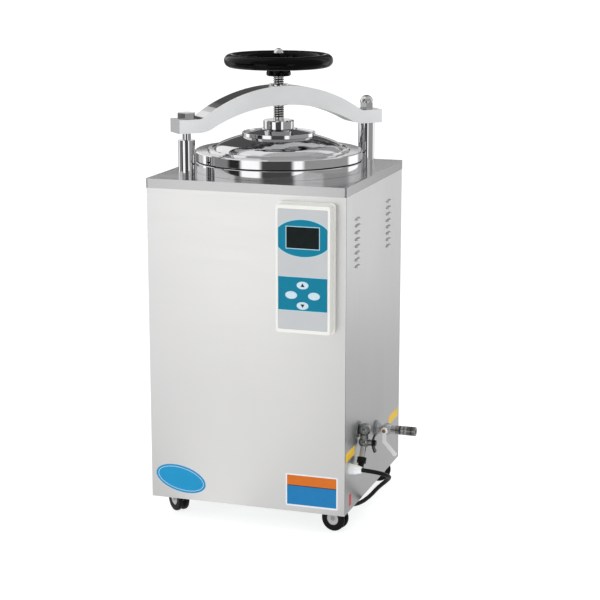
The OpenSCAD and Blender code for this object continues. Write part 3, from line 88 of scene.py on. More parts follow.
photo_lens = bpy.data.cameras.new("photo_lens")
photo_lens.sensor_width = SENSOR_WIDTH
photo_lens.lens = FOCAL_PIXELS / PICTURE_PIXELS * SENSOR_WIDTH
photo_camera = bpy.data.objects.new("photo_camera", photo_lens)
photo_camera.location = at(*CAMERA_PLACE)
photo_camera.rotation_euler = (math.pi / 2 - CAMERA_DIP, 0, CAMERA_TURN)
bpy.context.collection.objects.link(photo_camera)
bpy.context.scene.camera = photo_camera
print("lens", round(photo_lens.lens, 1), "mm")

# %% [markdown]
# ## The mains lead
#
# The real lead leaves a white gland low on the right side, drops to the floor and runs under
# the cabinet. The photograph shows only its start, so the rest lies as a flat round coil
# under the machine. A lead is a tube along one smooth line, so one Bezier spline with
# automatic handles draws it: a few listed points for the free part, and twenty-four
# for each turn of the coil. The profile is a circle of radius one that every knot scales
# down, so the curve's own box stays as small as the lead.

# %% The lead's line
LEAD_R = 4.5
COIL_STEP = 9.6
COIL_MIDDLE = (60, -8)
COIL_START_R = 63
COIL_BEGIN = 52
COIL_TURNS = 4
COIL_POINTS = 24
CLIMB_ARC = 180
LAY_Z = 4.7
LEAD_IN = 9
LEAD_OUT = 40
LEAD_OUT_STEPS = (14, 28)
PLUG_GRIP = 4
lead_route = [
    (240, -187, 144), (250, -187, 144), (260, -187, 143.5), (273, -185, 142),
    (285, -179, 138.5), (294, -169, 133), (298, -155, 125.5), (295, -140, 116.5),
    (286, -126, 105.5), (273, -113, 92), (258, -100, 76), (243, -88, 58),
    (228, -76, 42), (212, -64, 28), (197, -52, 18), (182, -40, 11),
    (167, -26, 6.5), (152, -10, 4.8), (138, 6, 4.7), (124, 21, 4.7),
]


def coil_point(angle):
    """A point of the coil: it winds in for two turns, climbs a layer and winds out again."""
    full = COIL_TURNS * 360
    radius = COIL_START_R + COIL_STEP * (abs(angle - full / 2) / 360 - COIL_TURNS / 2)
    climb = min(max((angle - full / 2 + CLIMB_ARC / 2) / CLIMB_ARC, 0), 1)
    turn = math.radians(COIL_BEGIN + angle)
    return Vector((COIL_MIDDLE[0] + radius * math.cos(turn),
                   COIL_MIDDLE[1] + radius * math.sin(turn), LAY_Z + COIL_STEP * climb))


coil = [coil_point(i * 360 / COIL_POINTS) for i in range(COIL_TURNS * COIL_POINTS + 1)]
way_in = (coil_point(1) - coil[0]).normalized()
way_out = (coil[-1] - coil_point(COIL_TURNS * 360 - 1)).normalized()
coil_exit = coil[-1] + LEAD_OUT * way_out
lead_points = [Vector(p) for p in lead_route] + [coil[0] - LEAD_IN * way_in] + coil
lead_points += [coil[-1] + step * way_out for step in LEAD_OUT_STEPS]
lead_points.append(coil_exit + PLUG_GRIP * way_out)


# %% The lead's tube
def tube(name, points, radius, rounds=8, steps=4):
    """A round tube along one smooth open line, given in millimetres from the axis."""
    line = bpy.data.curves.new(name, "CURVE")
    line.dimensions = "3D"
    line.resolution_u = steps
    line.bevel_depth = 1
    line.bevel_resolution = rounds
    line.use_fill_caps = True
    spline = line.splines.new("BEZIER")
    spline.bezier_points.add(len(points) - 1)
    for knot, p in zip(spline.bezier_points, points):
        knot.co = at(*p)
        knot.radius = radius * MM
        knot.handle_left_type = knot.handle_right_type = "AUTO"
    piece = bpy.data.objects.new(name, line)
    bpy.context.collection.objects.link(piece)
    return piece


mains_lead = tube("mains_lead", lead_points, LEAD_R)
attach(mains_lead, "cabinet")
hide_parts("power_cord", "cord_coil")

# %% [markdown]
# ## Shapes turned, lofted and cut
#
# Most small parts of such a machine come off a lathe, out of a mould or from a die. Three
# helpers cover them: one turns an outline round an axis, one joins rings of points into a
# skin, and one gives a flat outline a thickness and holes. Each new piece is shaded smoothly
# except at real edges. A turned part that ends in a point gets a very small radius there.

# %% Mesh helpers
TIP_R = 0.01


def new_piece(name, mesh_maker, body, edge=35):
    """Runs mesh_maker on an empty mesh and links the result as a piece on a body."""
    form = bmesh.new()
    mesh_maker(form)
    bmesh.ops.recalc_face_normals(form, faces=form.faces)
    for face in form.faces:
        face.smooth = True
    for rim in form.edges:
        rim.smooth = rim.calc_face_angle(math.pi) < math.radians(edge)
    mesh = bpy.data.meshes.new(name)
    form.to_mesh(mesh)
    form.free()
    piece = bpy.data.objects.new(name, mesh)
    bpy.context.collection.objects.link(piece)
    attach(piece, body)
    return piece


def skin_between(form, rings, closed=True):
    """Joins rings of equally many points into a skin, with a face on each end."""
    rows = [[form.verts.new(p) for p in ring] for ring in rings]
    count = len(rows[0])
    for low, high in zip(rows, rows[1:]):
        for i in range(count):
            j = (i + 1) % count
            form.faces.new((low[i], low[j], high[j], high[i]))
    if closed:
        form.faces.new(list(reversed(rows[0])))
        form.faces.new(rows[-1])
    return rows


def turned(name, outline, centre, direction, body, sides=48):
    """A part turned on a lathe: outline holds (along, radius) pairs in millimetres."""
    along = Vector(direction).normalized()
    across = along.orthogonal().normalized()
    other = along.cross(across)
    turns = [2 * math.pi * i / sides for i in range(sides)]
    rings = []
    for distance, radius in outline:
        rings.append([centre + MM * (along * distance + max(radius, TIP_R) * (
            across * math.cos(turn) + other * math.sin(turn))) for turn in turns])
    return new_piece(name, lambda form: skin_between(form, rings), body)


def cut_sheet(name, outline, place, right, up, thick, body, holes=()):
    """A flat piece cut to an outline of (right, up) millimetres, with holes and a thickness."""
    right, up = Vector(right).normalized(), Vector(up).normalized()
    out = right.cross(up)

    def stamp(form):
        levels = []
        for height in (0, thick):
            loops, edges = [], []
            for loop in (outline, *holes):
                corners = [form.verts.new(place + MM * (right * u + up * v + out * height))
                           for u, v in loop]
                edges += [form.edges.new((a, b))
                          for a, b in zip(corners, corners[1:] + corners[:1])]
                loops.append(corners)
            bmesh.ops.triangle_fill(form, edges=edges, use_beauty=True)
            levels.append(loops)
        for low, high in zip(*levels):
            for i in range(len(low)):
                j = (i + 1) % len(low)
                form.faces.new((low[i], low[j], high[j], high[i]))

    return new_piece(name, stamp, body)


def rounded(width, height, radius, steps=5):
    """The outline of a rectangle with round corners, centred on zero."""
    points = []
    for k, (sx, sy) in enumerate([(1, 1), (-1, 1), (-1, -1), (1, -1)]):
        for i in range(steps + 1):
            turn = math.pi / 2 * (k + i / steps)
            points.append((sx * (width / 2 - radius) + radius * math.cos(turn),
                           sy * (height / 2 - radius) + radius * math.sin(turn)))
    return points


def oval(width, height, steps=48, tilt=0):
    """The outline of an oval, tilted by an angle in degrees."""
    c, s = math.cos(math.radians(tilt)), math.sin(math.radians(tilt))
    points = []
    for i in range(steps):
        turn = 2 * math.pi * i / steps
        u, v = width / 2 * math.cos(turn), height / 2 * math.sin(turn)
        points.append((u * c - v * s, u * s + v * c))
    return points


# %% [markdown]
# ## The moulded plug
#
# The plug is one rubber moulding with a ribbed neck, and three flat pins. It is lofted from
# rounded cross-sections along the lead's last line, so the neck grows into the body without
# a seam.

# %% The plug
plug_turn = math.atan2(way_out.y, way_out.x)
plug_side = Vector((-math.sin(plug_turn), math.cos(plug_turn), 0))
PLUG_H = 28.2
PLUG_SIDES = 32
NECK_END = 16
NECK_POWER = 2
BODY_POWER = 2.9
plug_sections = [
    (0.2, 10, 10), (2, 11, 11), (4, 11, 11), (4.5, 9.6, 9.6), (6, 9.6, 9.6), (6.5, 11, 11),
    (9, 11, 11), (9.5, 9.8, 9.8), (11, 9.8, 9.8), (11.5, 11, 11), (14, 11.4, 11.4),
    (17, 17, 16), (21, 24.5, 22.5), (27, 29.2, 27.2), (34, 29.8, PLUG_H), (46, 29.8, PLUG_H),
    (56, 29.4, 28), (60.5, 28, 26.8), (62, 25.5, 24.4),
]


def moulded_plug(form):
    rings = []
    for along, wide, high in plug_sections:
        middle = coil_exit + way_out * along
        ring = []
        power = NECK_POWER if along < NECK_END else BODY_POWER
        for i in range(PLUG_SIDES):
            turn = 2 * math.pi * i / PLUG_SIDES
            c, s = math.cos(turn), math.sin(turn)
            u = wide / 2 * math.copysign(abs(c) ** (2 / power), c)
            v = high / 2 * math.copysign(abs(s) ** (2 / power), s)
            ring.append(at(*(middle + plug_side * u + Vector((0, 0, v)))))
        rings.append(ring)
    skin_between(form, rings)


plug = new_piece("mains_plug_body", moulded_plug, "cabinet")
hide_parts("power_plug")


PIN_START = 61
PIN_CORNER = 0.7
PIN_TIP = [(-1, 1), (0, 0.8), (1, 0.45)]


def plug_pin(name, u, v, tilt, length=17, wide=6.5, thick=1.6):
    """One flat pin with rounded sides, set at an angle across the plug's face."""
    middle = coil_exit + way_out * PIN_START + plug_side * u + Vector((0, 0, v))
    turn = Matrix.Rotation(math.radians(tilt), 3, way_out)
    right, up = turn @ plug_side, turn @ Vector((0, 0, 1))
    outline = rounded(wide, thick, PIN_CORNER, 3)
    rings = []
    for along, share in [(0, 1)] + [(length + step, share) for step, share in PIN_TIP]:
        rings.append([at(*(middle + way_out * along + right * a * share + up * b * share))
                      for a, b in outline])
    return new_piece(name, lambda form: skin_between(form, rings), "cabinet")


plug_pins = [plug_pin("plug_pin_left", -6, 3.2, -60), plug_pin("plug_pin_right", 6, 3.2, 60),
             plug_pin("plug_pin_earth", 0, -6.5, 90)]
print("plug", len(plug.data.polygons), "faces")

# %% [markdown]
# ## The clamp screw's thread
#
# The screw that presses the lid down has a trapezoid thread, 24 mm across with 5 mm from
# crest to crest. The CAD solid is a plain cylinder of the crest's size, so this piece stands
# for it. A thread on a lathe is a radius that depends only on how far along and how far
# round the cutter is, so the skin is made of plain rings and each point asks for its radius.

# %% The threaded screw
screw_low, screw_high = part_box("clamp_screw")
FOOT_R = (screw_high.x - screw_low.x) / 2 / MM
FOOT_H = 8.6
FOOT_BEVEL = 1
CREST_R = 11.9
ROOT_R = 9.7
ROOT_HALF_SHARE = 0.16
FLANK_SHARE = 0.14
RUN_OUT = 3
THREAD_STEP = 0.5
THREAD_PITCH = 5
THREAD_FROM = 864
THREAD_TO = 952
SCREW_TOP = 992.9
STUD_R = 4.9
SCREW_SIDES = 40


def thread_radius(height, turn):
    """The radius of the trapezoid thread at a height and a share of a turn."""
    phase = (height / THREAD_PITCH - turn) % 1
    rise = min(max((abs(phase - 0.5) - ROOT_HALF_SHARE) / FLANK_SHARE, 0), 1)
    fade = min((height - THREAD_FROM) / RUN_OUT, (THREAD_TO - height) / RUN_OUT, 1)
    return CREST_R - (CREST_R - ROOT_R) * (1 - rise) * max(fade, 0)


def threaded_bar(form):
    foot = screw_low.z / MM
    steps = round((THREAD_TO - THREAD_FROM) / THREAD_STEP)
    rows = [(foot, FOOT_R - FOOT_BEVEL), (foot + FOOT_BEVEL, FOOT_R),
            (foot + FOOT_H - FOOT_BEVEL, FOOT_R), (foot + FOOT_H, FOOT_R - FOOT_BEVEL),
            (foot + FOOT_H, CREST_R), (THREAD_FROM, CREST_R)]
    rows += [(THREAD_FROM + THREAD_STEP * k, None) for k in range(1, steps)]
    rows += [(THREAD_TO, CREST_R), (SCREW_TOP - 0.2, CREST_R), (SCREW_TOP, CREST_R - 0.3),
             (SCREW_TOP, STUD_R), (screw_high.z / MM - 0.1, STUD_R - 0.2)]
    rings = []
    for height, radius in rows:
        ring = []
        for i in range(SCREW_SIDES):
            turn = i / SCREW_SIDES
            r = radius or thread_radius(height, turn)
            ring.append(at(r * math.cos(2 * math.pi * turn), r * math.sin(2 * math.pi * turn),
                           height))
        rings.append(ring)
    skin_between(form, rings)


threaded_screw = new_piece("threaded_screw", threaded_bar, "wheel")
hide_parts("clamp_screw")
print("thread", THREAD_FROM, "to", THREAD_TO, "mm")

# %% [markdown]
# ## Printed fields on the membrane
#
# The membrane is a film with printed colour fields: an oval that the sides cut off behind
# the display, a frame round the window and a block behind the four keys. Ink has hardly any
# thickness, so each field is a sheet of about a tenth of a millimetre with real holes for
# the window and the keys. The keys can then be pressed through it. Each field has a paler
# edge under it that is a little larger.

# %% Membrane prints
film_low, film_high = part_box("membrane_panel")
FILM_MARGIN = 0.4
film_half = (film_high.x - film_low.x) / 2 / MM - FILM_MARGIN
film_top = Vector(((film_low.x + film_high.x) / 2, film_low.y, film_high.z))
FRONT_RIGHT, FRONT_UP = (1, 0, 0), (0, 0, 1)
WINDOW_W, WINDOW_H = 70, 44
WINDOW_DROP = 59
WINDOW_CORNER = 0.6
WINDOW_GAP = 0.6
FRAME_GROW = 3.6
OVAL_W, OVAL_H = 124, 77
OVAL_DROP = WINDOW_DROP + 1
BLOCK_TOP, BLOCK_END = -141.5, -211.5
EDGE_GROW = 1.2
KEY_GAP = 0.7
EDGE_T, FIELD_T, FRAME_T = 0.05, 0.09, 0.13


def shifted(outline, across, down):
    return [(u + across, v - down) for u, v in outline]


def clipped(outline, half):
    """Cuts an outline off at both sides of the film."""
    return [(min(max(u, -half), half), v) for u, v in outline]


def film_print(name, outline, thick, holes=()):
    return cut_sheet(name, outline, film_top, FRONT_RIGHT, FRONT_UP, thick, "cabinet", holes)


def window_cut(grow):
    outline = rounded(WINDOW_W + grow, WINDOW_H + grow, WINDOW_CORNER, 2)
    return shifted(outline, 0, WINDOW_DROP)


def oval_print(name, grow, thick):
    """The oval behind the display, larger by grow on every side and cut off by the film."""
    outline = shifted(oval(OVAL_W + 2 * grow, OVAL_H + 2 * grow, 80), 0, OVAL_DROP)
    film_print(name, clipped(outline, film_half), thick, [window_cut(WINDOW_GAP)])


def block_print(name, grow, thick):
    """The block behind the keys, as wide as the film and taller by grow at both ends."""
    low, high = BLOCK_END - grow, BLOCK_TOP + grow
    film_print(name, [(-film_half, low), (film_half, low), (film_half, high),
                      (-film_half, high)], thick, key_cuts)


key_cuts = []
for key in ("key_up", "key_down", "key_left", "key_right"):
    key_low, key_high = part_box(key)
    middle = (key_low + key_high) / 2
    key_cuts.append(shifted(oval((key_high.x - key_low.x) / MM + KEY_GAP,
                                 (key_high.z - key_low.z) / MM + KEY_GAP, 40),
                            (middle.x - film_top.x) / MM, (film_top.z - middle.z) / MM))
oval_print("print_oval_edge", EDGE_GROW, EDGE_T)
oval_print("print_oval_field", 0, FIELD_T)
film_print("print_window_frame", window_cut(FRAME_GROW), FRAME_T, [window_cut(WINDOW_GAP)])
block_print("print_block_edge", EDGE_GROW, EDGE_T)
block_print("print_block_field", 0, FIELD_T)
print("film", round(2 * film_half, 1), "mm wide with", len(key_cuts), "key holes")

# %% [markdown]
# The upper and lower keys each carry a black arrow head. They are printed on the key, so
# they ride on the key's body and move when it is pressed.

# %% Arrow heads
ARROW = [(-4.6, -3.2), (4.6, -3.2), (0, 4.2)]
ARROW_T = 0.08
arrows = []
for key, body, flip in (("key_up", "up_key", 1), ("key_down", "down_key", -1)):
    key_low, key_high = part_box(key)
    spot = Vector(((key_low.x + key_high.x) / 2, key_low.y, (key_low.z + key_high.z) / 2))
    head = [(u * flip, v * flip) for u, v in ARROW]
    arrows.append(cut_sheet("arrow_" + key, head, spot, FRONT_RIGHT, FRONT_UP, ARROW_T,
                            body))

# %% [markdown]
# ## Stickers
#
# Two stickers are on the front, and three strips are low on the right side. They are vinyl,
# 0.15 mm thick, and what is printed on them stands out a little more.

# %% Stickers on the front and the side
CABINET_LOW = 48
front_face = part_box("front_panel")[0].y
side_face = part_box("rear_panel")[1].x
SIDE_RIGHT = (0, 1, 0)
STICKER_T = 0.15
OVERPRINT_T = 0.2
RULE_T = 0.22


def front_sticker(name, outline, x, z, thick=STICKER_T, holes=()):
    spot = at(x, 0, CABINET_LOW + z)
    spot.y = front_face
    return cut_sheet(name, outline, spot, FRONT_RIGHT, FRONT_UP, thick, "cabinet", holes)


def side_sticker(name, outline, y, z, thick=STICKER_T):
    spot = at(0, y, CABINET_LOW + z)
    spot.x = side_face
    return cut_sheet(name, outline, spot, SIDE_RIGHT, FRONT_UP, thick, "cabinet")


OVAL_TILT = -12
OVAL_STEPS = 64
OVAL_X, OVAL_Z = -152, 46
OVAL_SIZE = (117, 59)
RING_OUTSIDE = (107, 50)
RING_INSIDE = (105.4, 48.4)
NOTICE_X = 147
# Part, width, height, corner radius, steps of a corner, height over the edge and thickness
NOTICE_PARTS = [
    ("edge", 116, 72, 2, 5, 48, STICKER_T), ("band", 110, 22, 0.5, 1, 70, OVERPRINT_T),
    ("field", 110, 42, 0.5, 1, 36.5, OVERPRINT_T), ("rule", 110, 1.6, 0.5, 1, 58.2, RULE_T),
]
# Part, width, height, distance behind the axis and height over the edge
STRIPS = [("drain", 66, 20, -179, 126), ("exhaust", 78, 20, 170, 113),
          ("earth", 15, 26, -178, 24)]
STRIP_CORNER = 1


def tilted_oval(size):
    return oval(*size, OVAL_STEPS, OVAL_TILT)


front_sticker("sticker_oval", tilted_oval(OVAL_SIZE), OVAL_X, OVAL_Z)
front_sticker("sticker_oval_ring", tilted_oval(RING_OUTSIDE), OVAL_X, OVAL_Z, OVERPRINT_T,
              [tilted_oval(RING_INSIDE)])
for part, width, height, corner, steps, z, thick in NOTICE_PARTS:
    front_sticker("sticker_notice_" + part, rounded(width, height, corner, steps), NOTICE_X,
                  z, thick)
for part, width, height, y, z in STRIPS:
    side_sticker("sticker_%s_strip" % part, rounded(width, height, STRIP_CORNER), y, z)
print("front face", round(front_face, 4), "side face", round(side_face, 4))

# %% [markdown]
# The front sheet is folded back at both sides and the side sheets butt against the fold. The
# shade in that joint is painted as a fine dark strip down each side, close behind the front
# edge.

# %% Panel seams, with their shade painted as dark strips
SEAM_Y = -217
SEAM_MIDDLE, SEAM_LONG = 350, 694
SEAM_SHADE_W = 1.3
SEAM_SHADE_CORNER = 0.3
SEAM_SHADE_T = 0.05
LEFT_RIGHT = (0, -1, 0)
seam_shade_outline = rounded(SEAM_SHADE_W, SEAM_LONG, SEAM_SHADE_CORNER, 1)
# Painted shade: a thin black strip on each side panel stands for the shadow in the seam.
side_sticker("seam_shade_strip_right", seam_shade_outline, SEAM_Y, SEAM_MIDDLE, SEAM_SHADE_T)
seam_shade_spot = at(0, SEAM_Y, CABINET_LOW + SEAM_MIDDLE)
seam_shade_spot.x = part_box("rear_panel")[0].x
cut_sheet("seam_shade_strip_left", seam_shade_outline, seam_shade_spot, LEFT_RIGHT, FRONT_UP, SEAM_SHADE_T, "cabinet")
print("seams", SEAM_LONG, "mm long")

# %% [markdown]
# ## Small trim
#
# A wire bead stiffens the basket's rim. A copper coloured cap closes the exhaust lever's
# pivot. Pan head screws hold the rear panel, and each head is turned as a shallow dome.

# %% Bead, cap and screws
BEAD_R = 125.2
BEAD_WIRE_R = 2
BEAD_Z = 590.4
BEAD_SIDES = 96
WIRE_SIDES = 12
CAP_OUTLINE = [(0, 4.2), (0.6, 4.2), (1.3, 3.4), (1.7, 1.8), (1.8, 0)]
CAP_X, CAP_Z = 246, 177
HEAD_OUTLINE = [(0, 3.6), (0.5, 3.5), (0.9, 2.6), (1.1, 0)]
HEAD_XS = (-208, 208)
HEAD_ZS = (84, 300, 520, 716)


def rim_bead(form):
    rings = []
    for i in range(BEAD_SIDES):
        turn = 2 * math.pi * i / BEAD_SIDES
        rings.append([at((BEAD_R + BEAD_WIRE_R * math.cos(t)) * math.cos(turn),
                         (BEAD_R + BEAD_WIRE_R * math.cos(t)) * math.sin(turn),
                         BEAD_Z + BEAD_WIRE_R * math.sin(t))
                      for t in [2 * math.pi * k / WIRE_SIDES for k in range(WIRE_SIDES)]])
    rows = skin_between(form, rings, closed=False)
    for k in range(WIRE_SIDES):
        j = (k + 1) % WIRE_SIDES
        form.faces.new((rows[-1][k], rows[-1][j], rows[0][j], rows[0][k]))


new_piece("basket_rim_bead", rim_bead, "loading_basket")
cap_spot = at(CAP_X, 0, CAP_Z)
cap_spot.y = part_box("exhaust_lever")[0].y
turned("lever_pivot_cap", CAP_OUTLINE, cap_spot, (0, -1, 0), "exhaust_tap", 24)
rear_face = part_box("rear_panel")[1].y
panel_screws = []
for x in HEAD_XS:
    for z in HEAD_ZS:
        spot = at(x, 0, z)
        spot.y = rear_face
        panel_screws.append(turned("rear_screw_%d" % len(panel_screws), HEAD_OUTLINE, spot,
                                   (0, 1, 0), "cabinet", 20))
print("trim", 2 + len(panel_screws), "pieces")

# %% [markdown]
# ## Finishes
#
# A real finish is never one flat value. Every material starts from the same three layers,
# all driven by the object's own coordinates so that they stay on the part when it moves:
# a slow change of tone, a slow change of gloss, and a fine relief. What differs between
# brushed sheet, polish, rubber and moulded plastic is the scale, the direction and the
# depth of those layers.


# %% The layered finish
NOISE_LOW, NOISE_HIGH = 0.3, 0.7


def noise_layer(nodes, links, coords, stretch, detail=3.0):
    """Noise at stretch cells a metre along x, y and z."""
    scale = nodes.new("ShaderNodeMapping")
    scale.inputs["Scale"].default_value = stretch
    links.new(coords, scale.inputs["Vector"])
    noise = nodes.new("ShaderNodeTexNoise")
    noise.inputs["Scale"].default_value = 1
    noise.inputs["Detail"].default_value = detail
    links.new(scale.outputs["Vector"], noise.inputs["Vector"])
    return noise.outputs["Fac"]


def spread(nodes, links, value, low, high):
    """Maps the middle of a noise onto the range low to high."""
    ranged = nodes.new("ShaderNodeMapRange")
    ranged.inputs["From Min"].default_value = NOISE_LOW
    ranged.inputs["From Max"].default_value = NOISE_HIGH
    ranged.inputs["To Min"].default_value = low
    ranged.inputs["To Max"].default_value = high
    links.new(value, ranged.inputs["Value"])
    return ranged.outputs["Result"]


def finish(name, colour, rough, metal=0.0, tone=0.05, tone_scale=(9, 9, 9), gloss=0.04,
           gloss_scale=(35, 35, 35), relief=0.1, relief_scale=(900, 900, 900), depth=0.0002,
           second=None, **sockets):
    """A material from the three layers; further shader sockets are set by name."""
    material = bpy.data.materials.new(name)
    material.use_nodes = True
    nodes, links = material.node_tree.nodes, material.node_tree.links
    shader = nodes["Principled BSDF"]
    shader.inputs["Metallic"].default_value = metal
    for socket, value in sockets.items():
        shader.inputs[socket.replace("_", " ")].default_value = value
    coords = nodes.new("ShaderNodeTexCoord").outputs["Object"]
    mix = nodes.new("ShaderNodeMix")
    mix.data_type = "RGBA"
    mix.name = "tone"
    dark = second or tuple(c * (1 - 2 * tone) for c in colour)
    mix.inputs["A"].default_value = (*dark, 1)
    mix.inputs["B"].default_value = (*colour, 1)
    links.new(spread(nodes, links, noise_layer(nodes, links, coords, tone_scale), 0, 1),
              mix.inputs["Factor"])
    links.new(mix.outputs["Result"], shader.inputs["Base Color"])
    rough_now = spread(nodes, links, noise_layer(nodes, links, coords, gloss_scale),
                       max(rough - gloss, 0.01), rough + gloss)
    links.new(rough_now, shader.inputs["Roughness"])
    bump = nodes.new("ShaderNodeBump")
    bump.inputs["Strength"].default_value = relief
    bump.inputs["Distance"].default_value = depth
    links.new(noise_layer(nodes, links, coords, relief_scale, 2.0), bump.inputs["Height"])
    links.new(bump.outputs["Normal"], shader.inputs["Normal"])
    return material


def dress(material, *names):
    """Puts a material on CAD nodes or on pieces, by name."""
    for name in names:
        slots = bpy.data.objects[name].data.materials
        slots.clear()
        slots.append(material)


def printed(name, colour, rough=0.32, tone=0.03, **sockets):
    """Ink or vinyl: one colour with the faint mottle and grain of a printed film."""
    return finish(name, colour, rough, tone=tone, tone_scale=(70, 70, 70), relief=0.15,
                  relief_scale=(2200, 2200, 2200), depth=0.00002, Specular_IOR_Level=0.1,
                  **sockets)


# %% [markdown]
# ## Sheet steel
#
# The cabinet is folded from brushed stainless sheet. Its rolling and brushing run one way,
# so the relief noise is stretched along the grain: many cells across it and very few along
# it. The sheet is dull enough to blur the room into soft bands. The cover is polished, and
# its folded lip is brushed: a point belongs to the flat top when its normal lies across the
# sheet, and every other face gets a darker tone and its own gloss.

# %% A second finish on the edges
FLAT_WITHIN = 0.85


def other_edges(material, across, tone_share, rough):
    """Keeps the finish on faces square to across, and gives the rest a tone and a gloss."""
    nodes, links = material.node_tree.nodes, material.node_tree.links
    shader = nodes["Principled BSDF"]
    facing = nodes.new("ShaderNodeVectorMath")
    facing.operation = "DOT_PRODUCT"
    facing.inputs[1].default_value = across
    links.new(nodes["Texture Coordinate"].outputs["Normal"], facing.inputs[0])
    size = nodes.new("ShaderNodeMath")
    size.operation = "ABSOLUTE"
    links.new(facing.outputs["Value"], size.inputs[0])
    flat = nodes.new("ShaderNodeMath")
    flat.operation = "GREATER_THAN"
    flat.inputs[1].default_value = FLAT_WITHIN
    links.new(size.outputs["Value"], flat.inputs[0])
    darker = nodes.new("ShaderNodeMix")
    darker.data_type = "RGBA"
    darker.blend_type = "MULTIPLY"
    darker.inputs["Factor"].default_value = 1
    darker.inputs["B"].default_value = (tone_share, tone_share, tone_share, 1)
    links.new(nodes["tone"].outputs["Result"], darker.inputs["A"])
    colour = nodes.new("ShaderNodeMix")
    colour.data_type = "RGBA"
    links.new(flat.outputs["Value"], colour.inputs["Factor"])
    links.new(darker.outputs["Result"], colour.inputs["A"])
    links.new(nodes["tone"].outputs["Result"], colour.inputs["B"])
    links.new(colour.outputs["Result"], shader.inputs["Base Color"])
    for socket, edge in (("Metallic", 1.0), ("Roughness", rough)):
        amount = nodes.new("ShaderNodeMix")
        amount.inputs["A"].default_value = edge
        amount.inputs["B"].default_value = shader.inputs[socket].default_value
        if shader.inputs[socket].is_linked:
            links.new(shader.inputs[socket].links[0].from_socket, amount.inputs["B"])
        links.new(flat.outputs["Value"], amount.inputs["Factor"])
        links.new(amount.outputs["Result"], shader.inputs[socket])


# %% Brushed and polished sheet
brushed_front = finish("brushed_front_sheet", (0.75, 0.745, 0.74), 0.36, metal=1.0, tone=0.02,
                       tone_scale=(3, 3, 2), gloss=0.015, gloss_scale=(6, 6, 120),
                       relief=0.2, relief_scale=(10, 10, 1900), depth=0.000025)
# Painted shade: the side and rear panels get a darker copy of the front's sheet steel.
brushed_sheet_shaded = finish("brushed_sheet_painted_shade", (0.665, 0.665, 0.67), 0.38, metal=1.0, tone=0.03,
                      tone_scale=(3, 5, 2), gloss=0.025, gloss_scale=(90, 90, 5),
                      relief=0.25, relief_scale=(1900, 1900, 14), depth=0.00003)
cover_polish = finish("cover_polished_sheet", (0.61, 0.61, 0.615), 0.13, metal=1.0, tone=0.02,
                      gloss=0.03, gloss_scale=(14, 160, 14), relief=0.12,
                      relief_scale=(60, 1500, 60), depth=0.00002)
other_edges(cover_polish, (0, 0, 1), 0.74, 0.26)
dark_sheet = finish("zinc_coated_sheet", (0.30, 0.30, 0.31), 0.5, metal=1.0, tone=0.12,
                    tone_scale=(40, 40, 40), relief=0.2, relief_scale=(300, 300, 300))
screw_head = finish("panel_screw_plating", (0.60, 0.60, 0.60), 0.25, metal=1.0, tone=0.08,
                    tone_scale=(300, 300, 300), relief=0.1)
dress(brushed_front, "front_panel")
dress(brushed_sheet_shaded, "left_panel", "right_panel", "rear_panel")
dress(cover_polish, "top_cover")
dress(dark_sheet, "base_plate", "vessel_legs", "post_carrier")
dress(screw_head, *[s.name for s in panel_screws])

# %% [markdown]
# ## Polished steel of the chamber, lid and posts
#
# These parts are turned and then buffed, so they mirror the room. Two things keep a mirror
# from looking like computer chrome: faint rings left by the buffing wheel, and a gloss that
# wanders a little. Both are kept very shallow.

# %% Chamber, lid and posts
mirror = finish("buffed_mirror_steel", (0.66, 0.66, 0.67), 0.05, metal=1.0, tone=0.03,
                tone_scale=(30, 30, 30), gloss=0.025, gloss_scale=(20, 20, 220),
                relief=0.08, relief_scale=(40, 40, 1400), depth=0.00002)
vessel_inside = finish("chamber_steel", (0.62, 0.62, 0.61), 0.22, metal=1.0, tone=0.05,
                       gloss=0.06, gloss_scale=(20, 20, 90), relief=0.15,
                       relief_scale=(60, 60, 900), depth=0.00003)
dress(mirror, "lid_shell", "vessel_flange", "lid_disc", "foot_collar", "pivot_post",
      "pivot_nut", "latch_post", "wheel_nut")
dress(vessel_inside, "pressure_vessel", "heater_grid", "basket", "basket_bail",
      "basket_rim_bead")

# %% [markdown]
# ## Yoke, screw and wheel
#
# The yoke is cut from thick plate. Its two flat faces are ground satin, so they are pale and
# even, and its edges are polished. The plate stands on the diagonal between the posts, so
# its flat faces are the ones that lie square to that diagonal's side.
# The screw is bright turned steel, and the shade in the thread's roots is painted on:
# whatever lies nearer to the axis than the shade's radius gets a dark colour. The wheel is
# glossy black moulded resin.

# %% A second colour near an axis
ROOT_SHADE_R = 11
ROOT_SHADE_DARK = (0.035, 0.034, 0.033)


def inner_colour(material, centre, along, radius, colour):
    """Gives everything nearer to an axis than a radius in metres its own colour."""
    nodes, links = material.node_tree.nodes, material.node_tree.links
    arm = nodes.new("ShaderNodeVectorMath")
    arm.operation = "SUBTRACT"
    arm.inputs[1].default_value = centre
    links.new(nodes["Texture Coordinate"].outputs["Object"], arm.inputs[0])
    off_axis = nodes.new("ShaderNodeVectorMath")
    off_axis.operation = "CROSS_PRODUCT"
    off_axis.inputs[1].default_value = along
    links.new(arm.outputs["Vector"], off_axis.inputs[0])
    distance = nodes.new("ShaderNodeVectorMath")
    distance.operation = "LENGTH"
    links.new(off_axis.outputs["Vector"], distance.inputs[0])
    inside = nodes.new("ShaderNodeMath")
    inside.operation = "LESS_THAN"
    inside.inputs[1].default_value = radius
    links.new(distance.outputs["Value"], inside.inputs[0])
    both = nodes.new("ShaderNodeMix")
    both.data_type = "RGBA"
    both.inputs["B"].default_value = (*colour, 1)
    links.new(inside.outputs["Value"], both.inputs["Factor"])
    links.new(nodes["tone"].outputs["Result"], both.inputs["A"])
    links.new(both.outputs["Result"], nodes["Principled BSDF"].inputs["Base Color"])


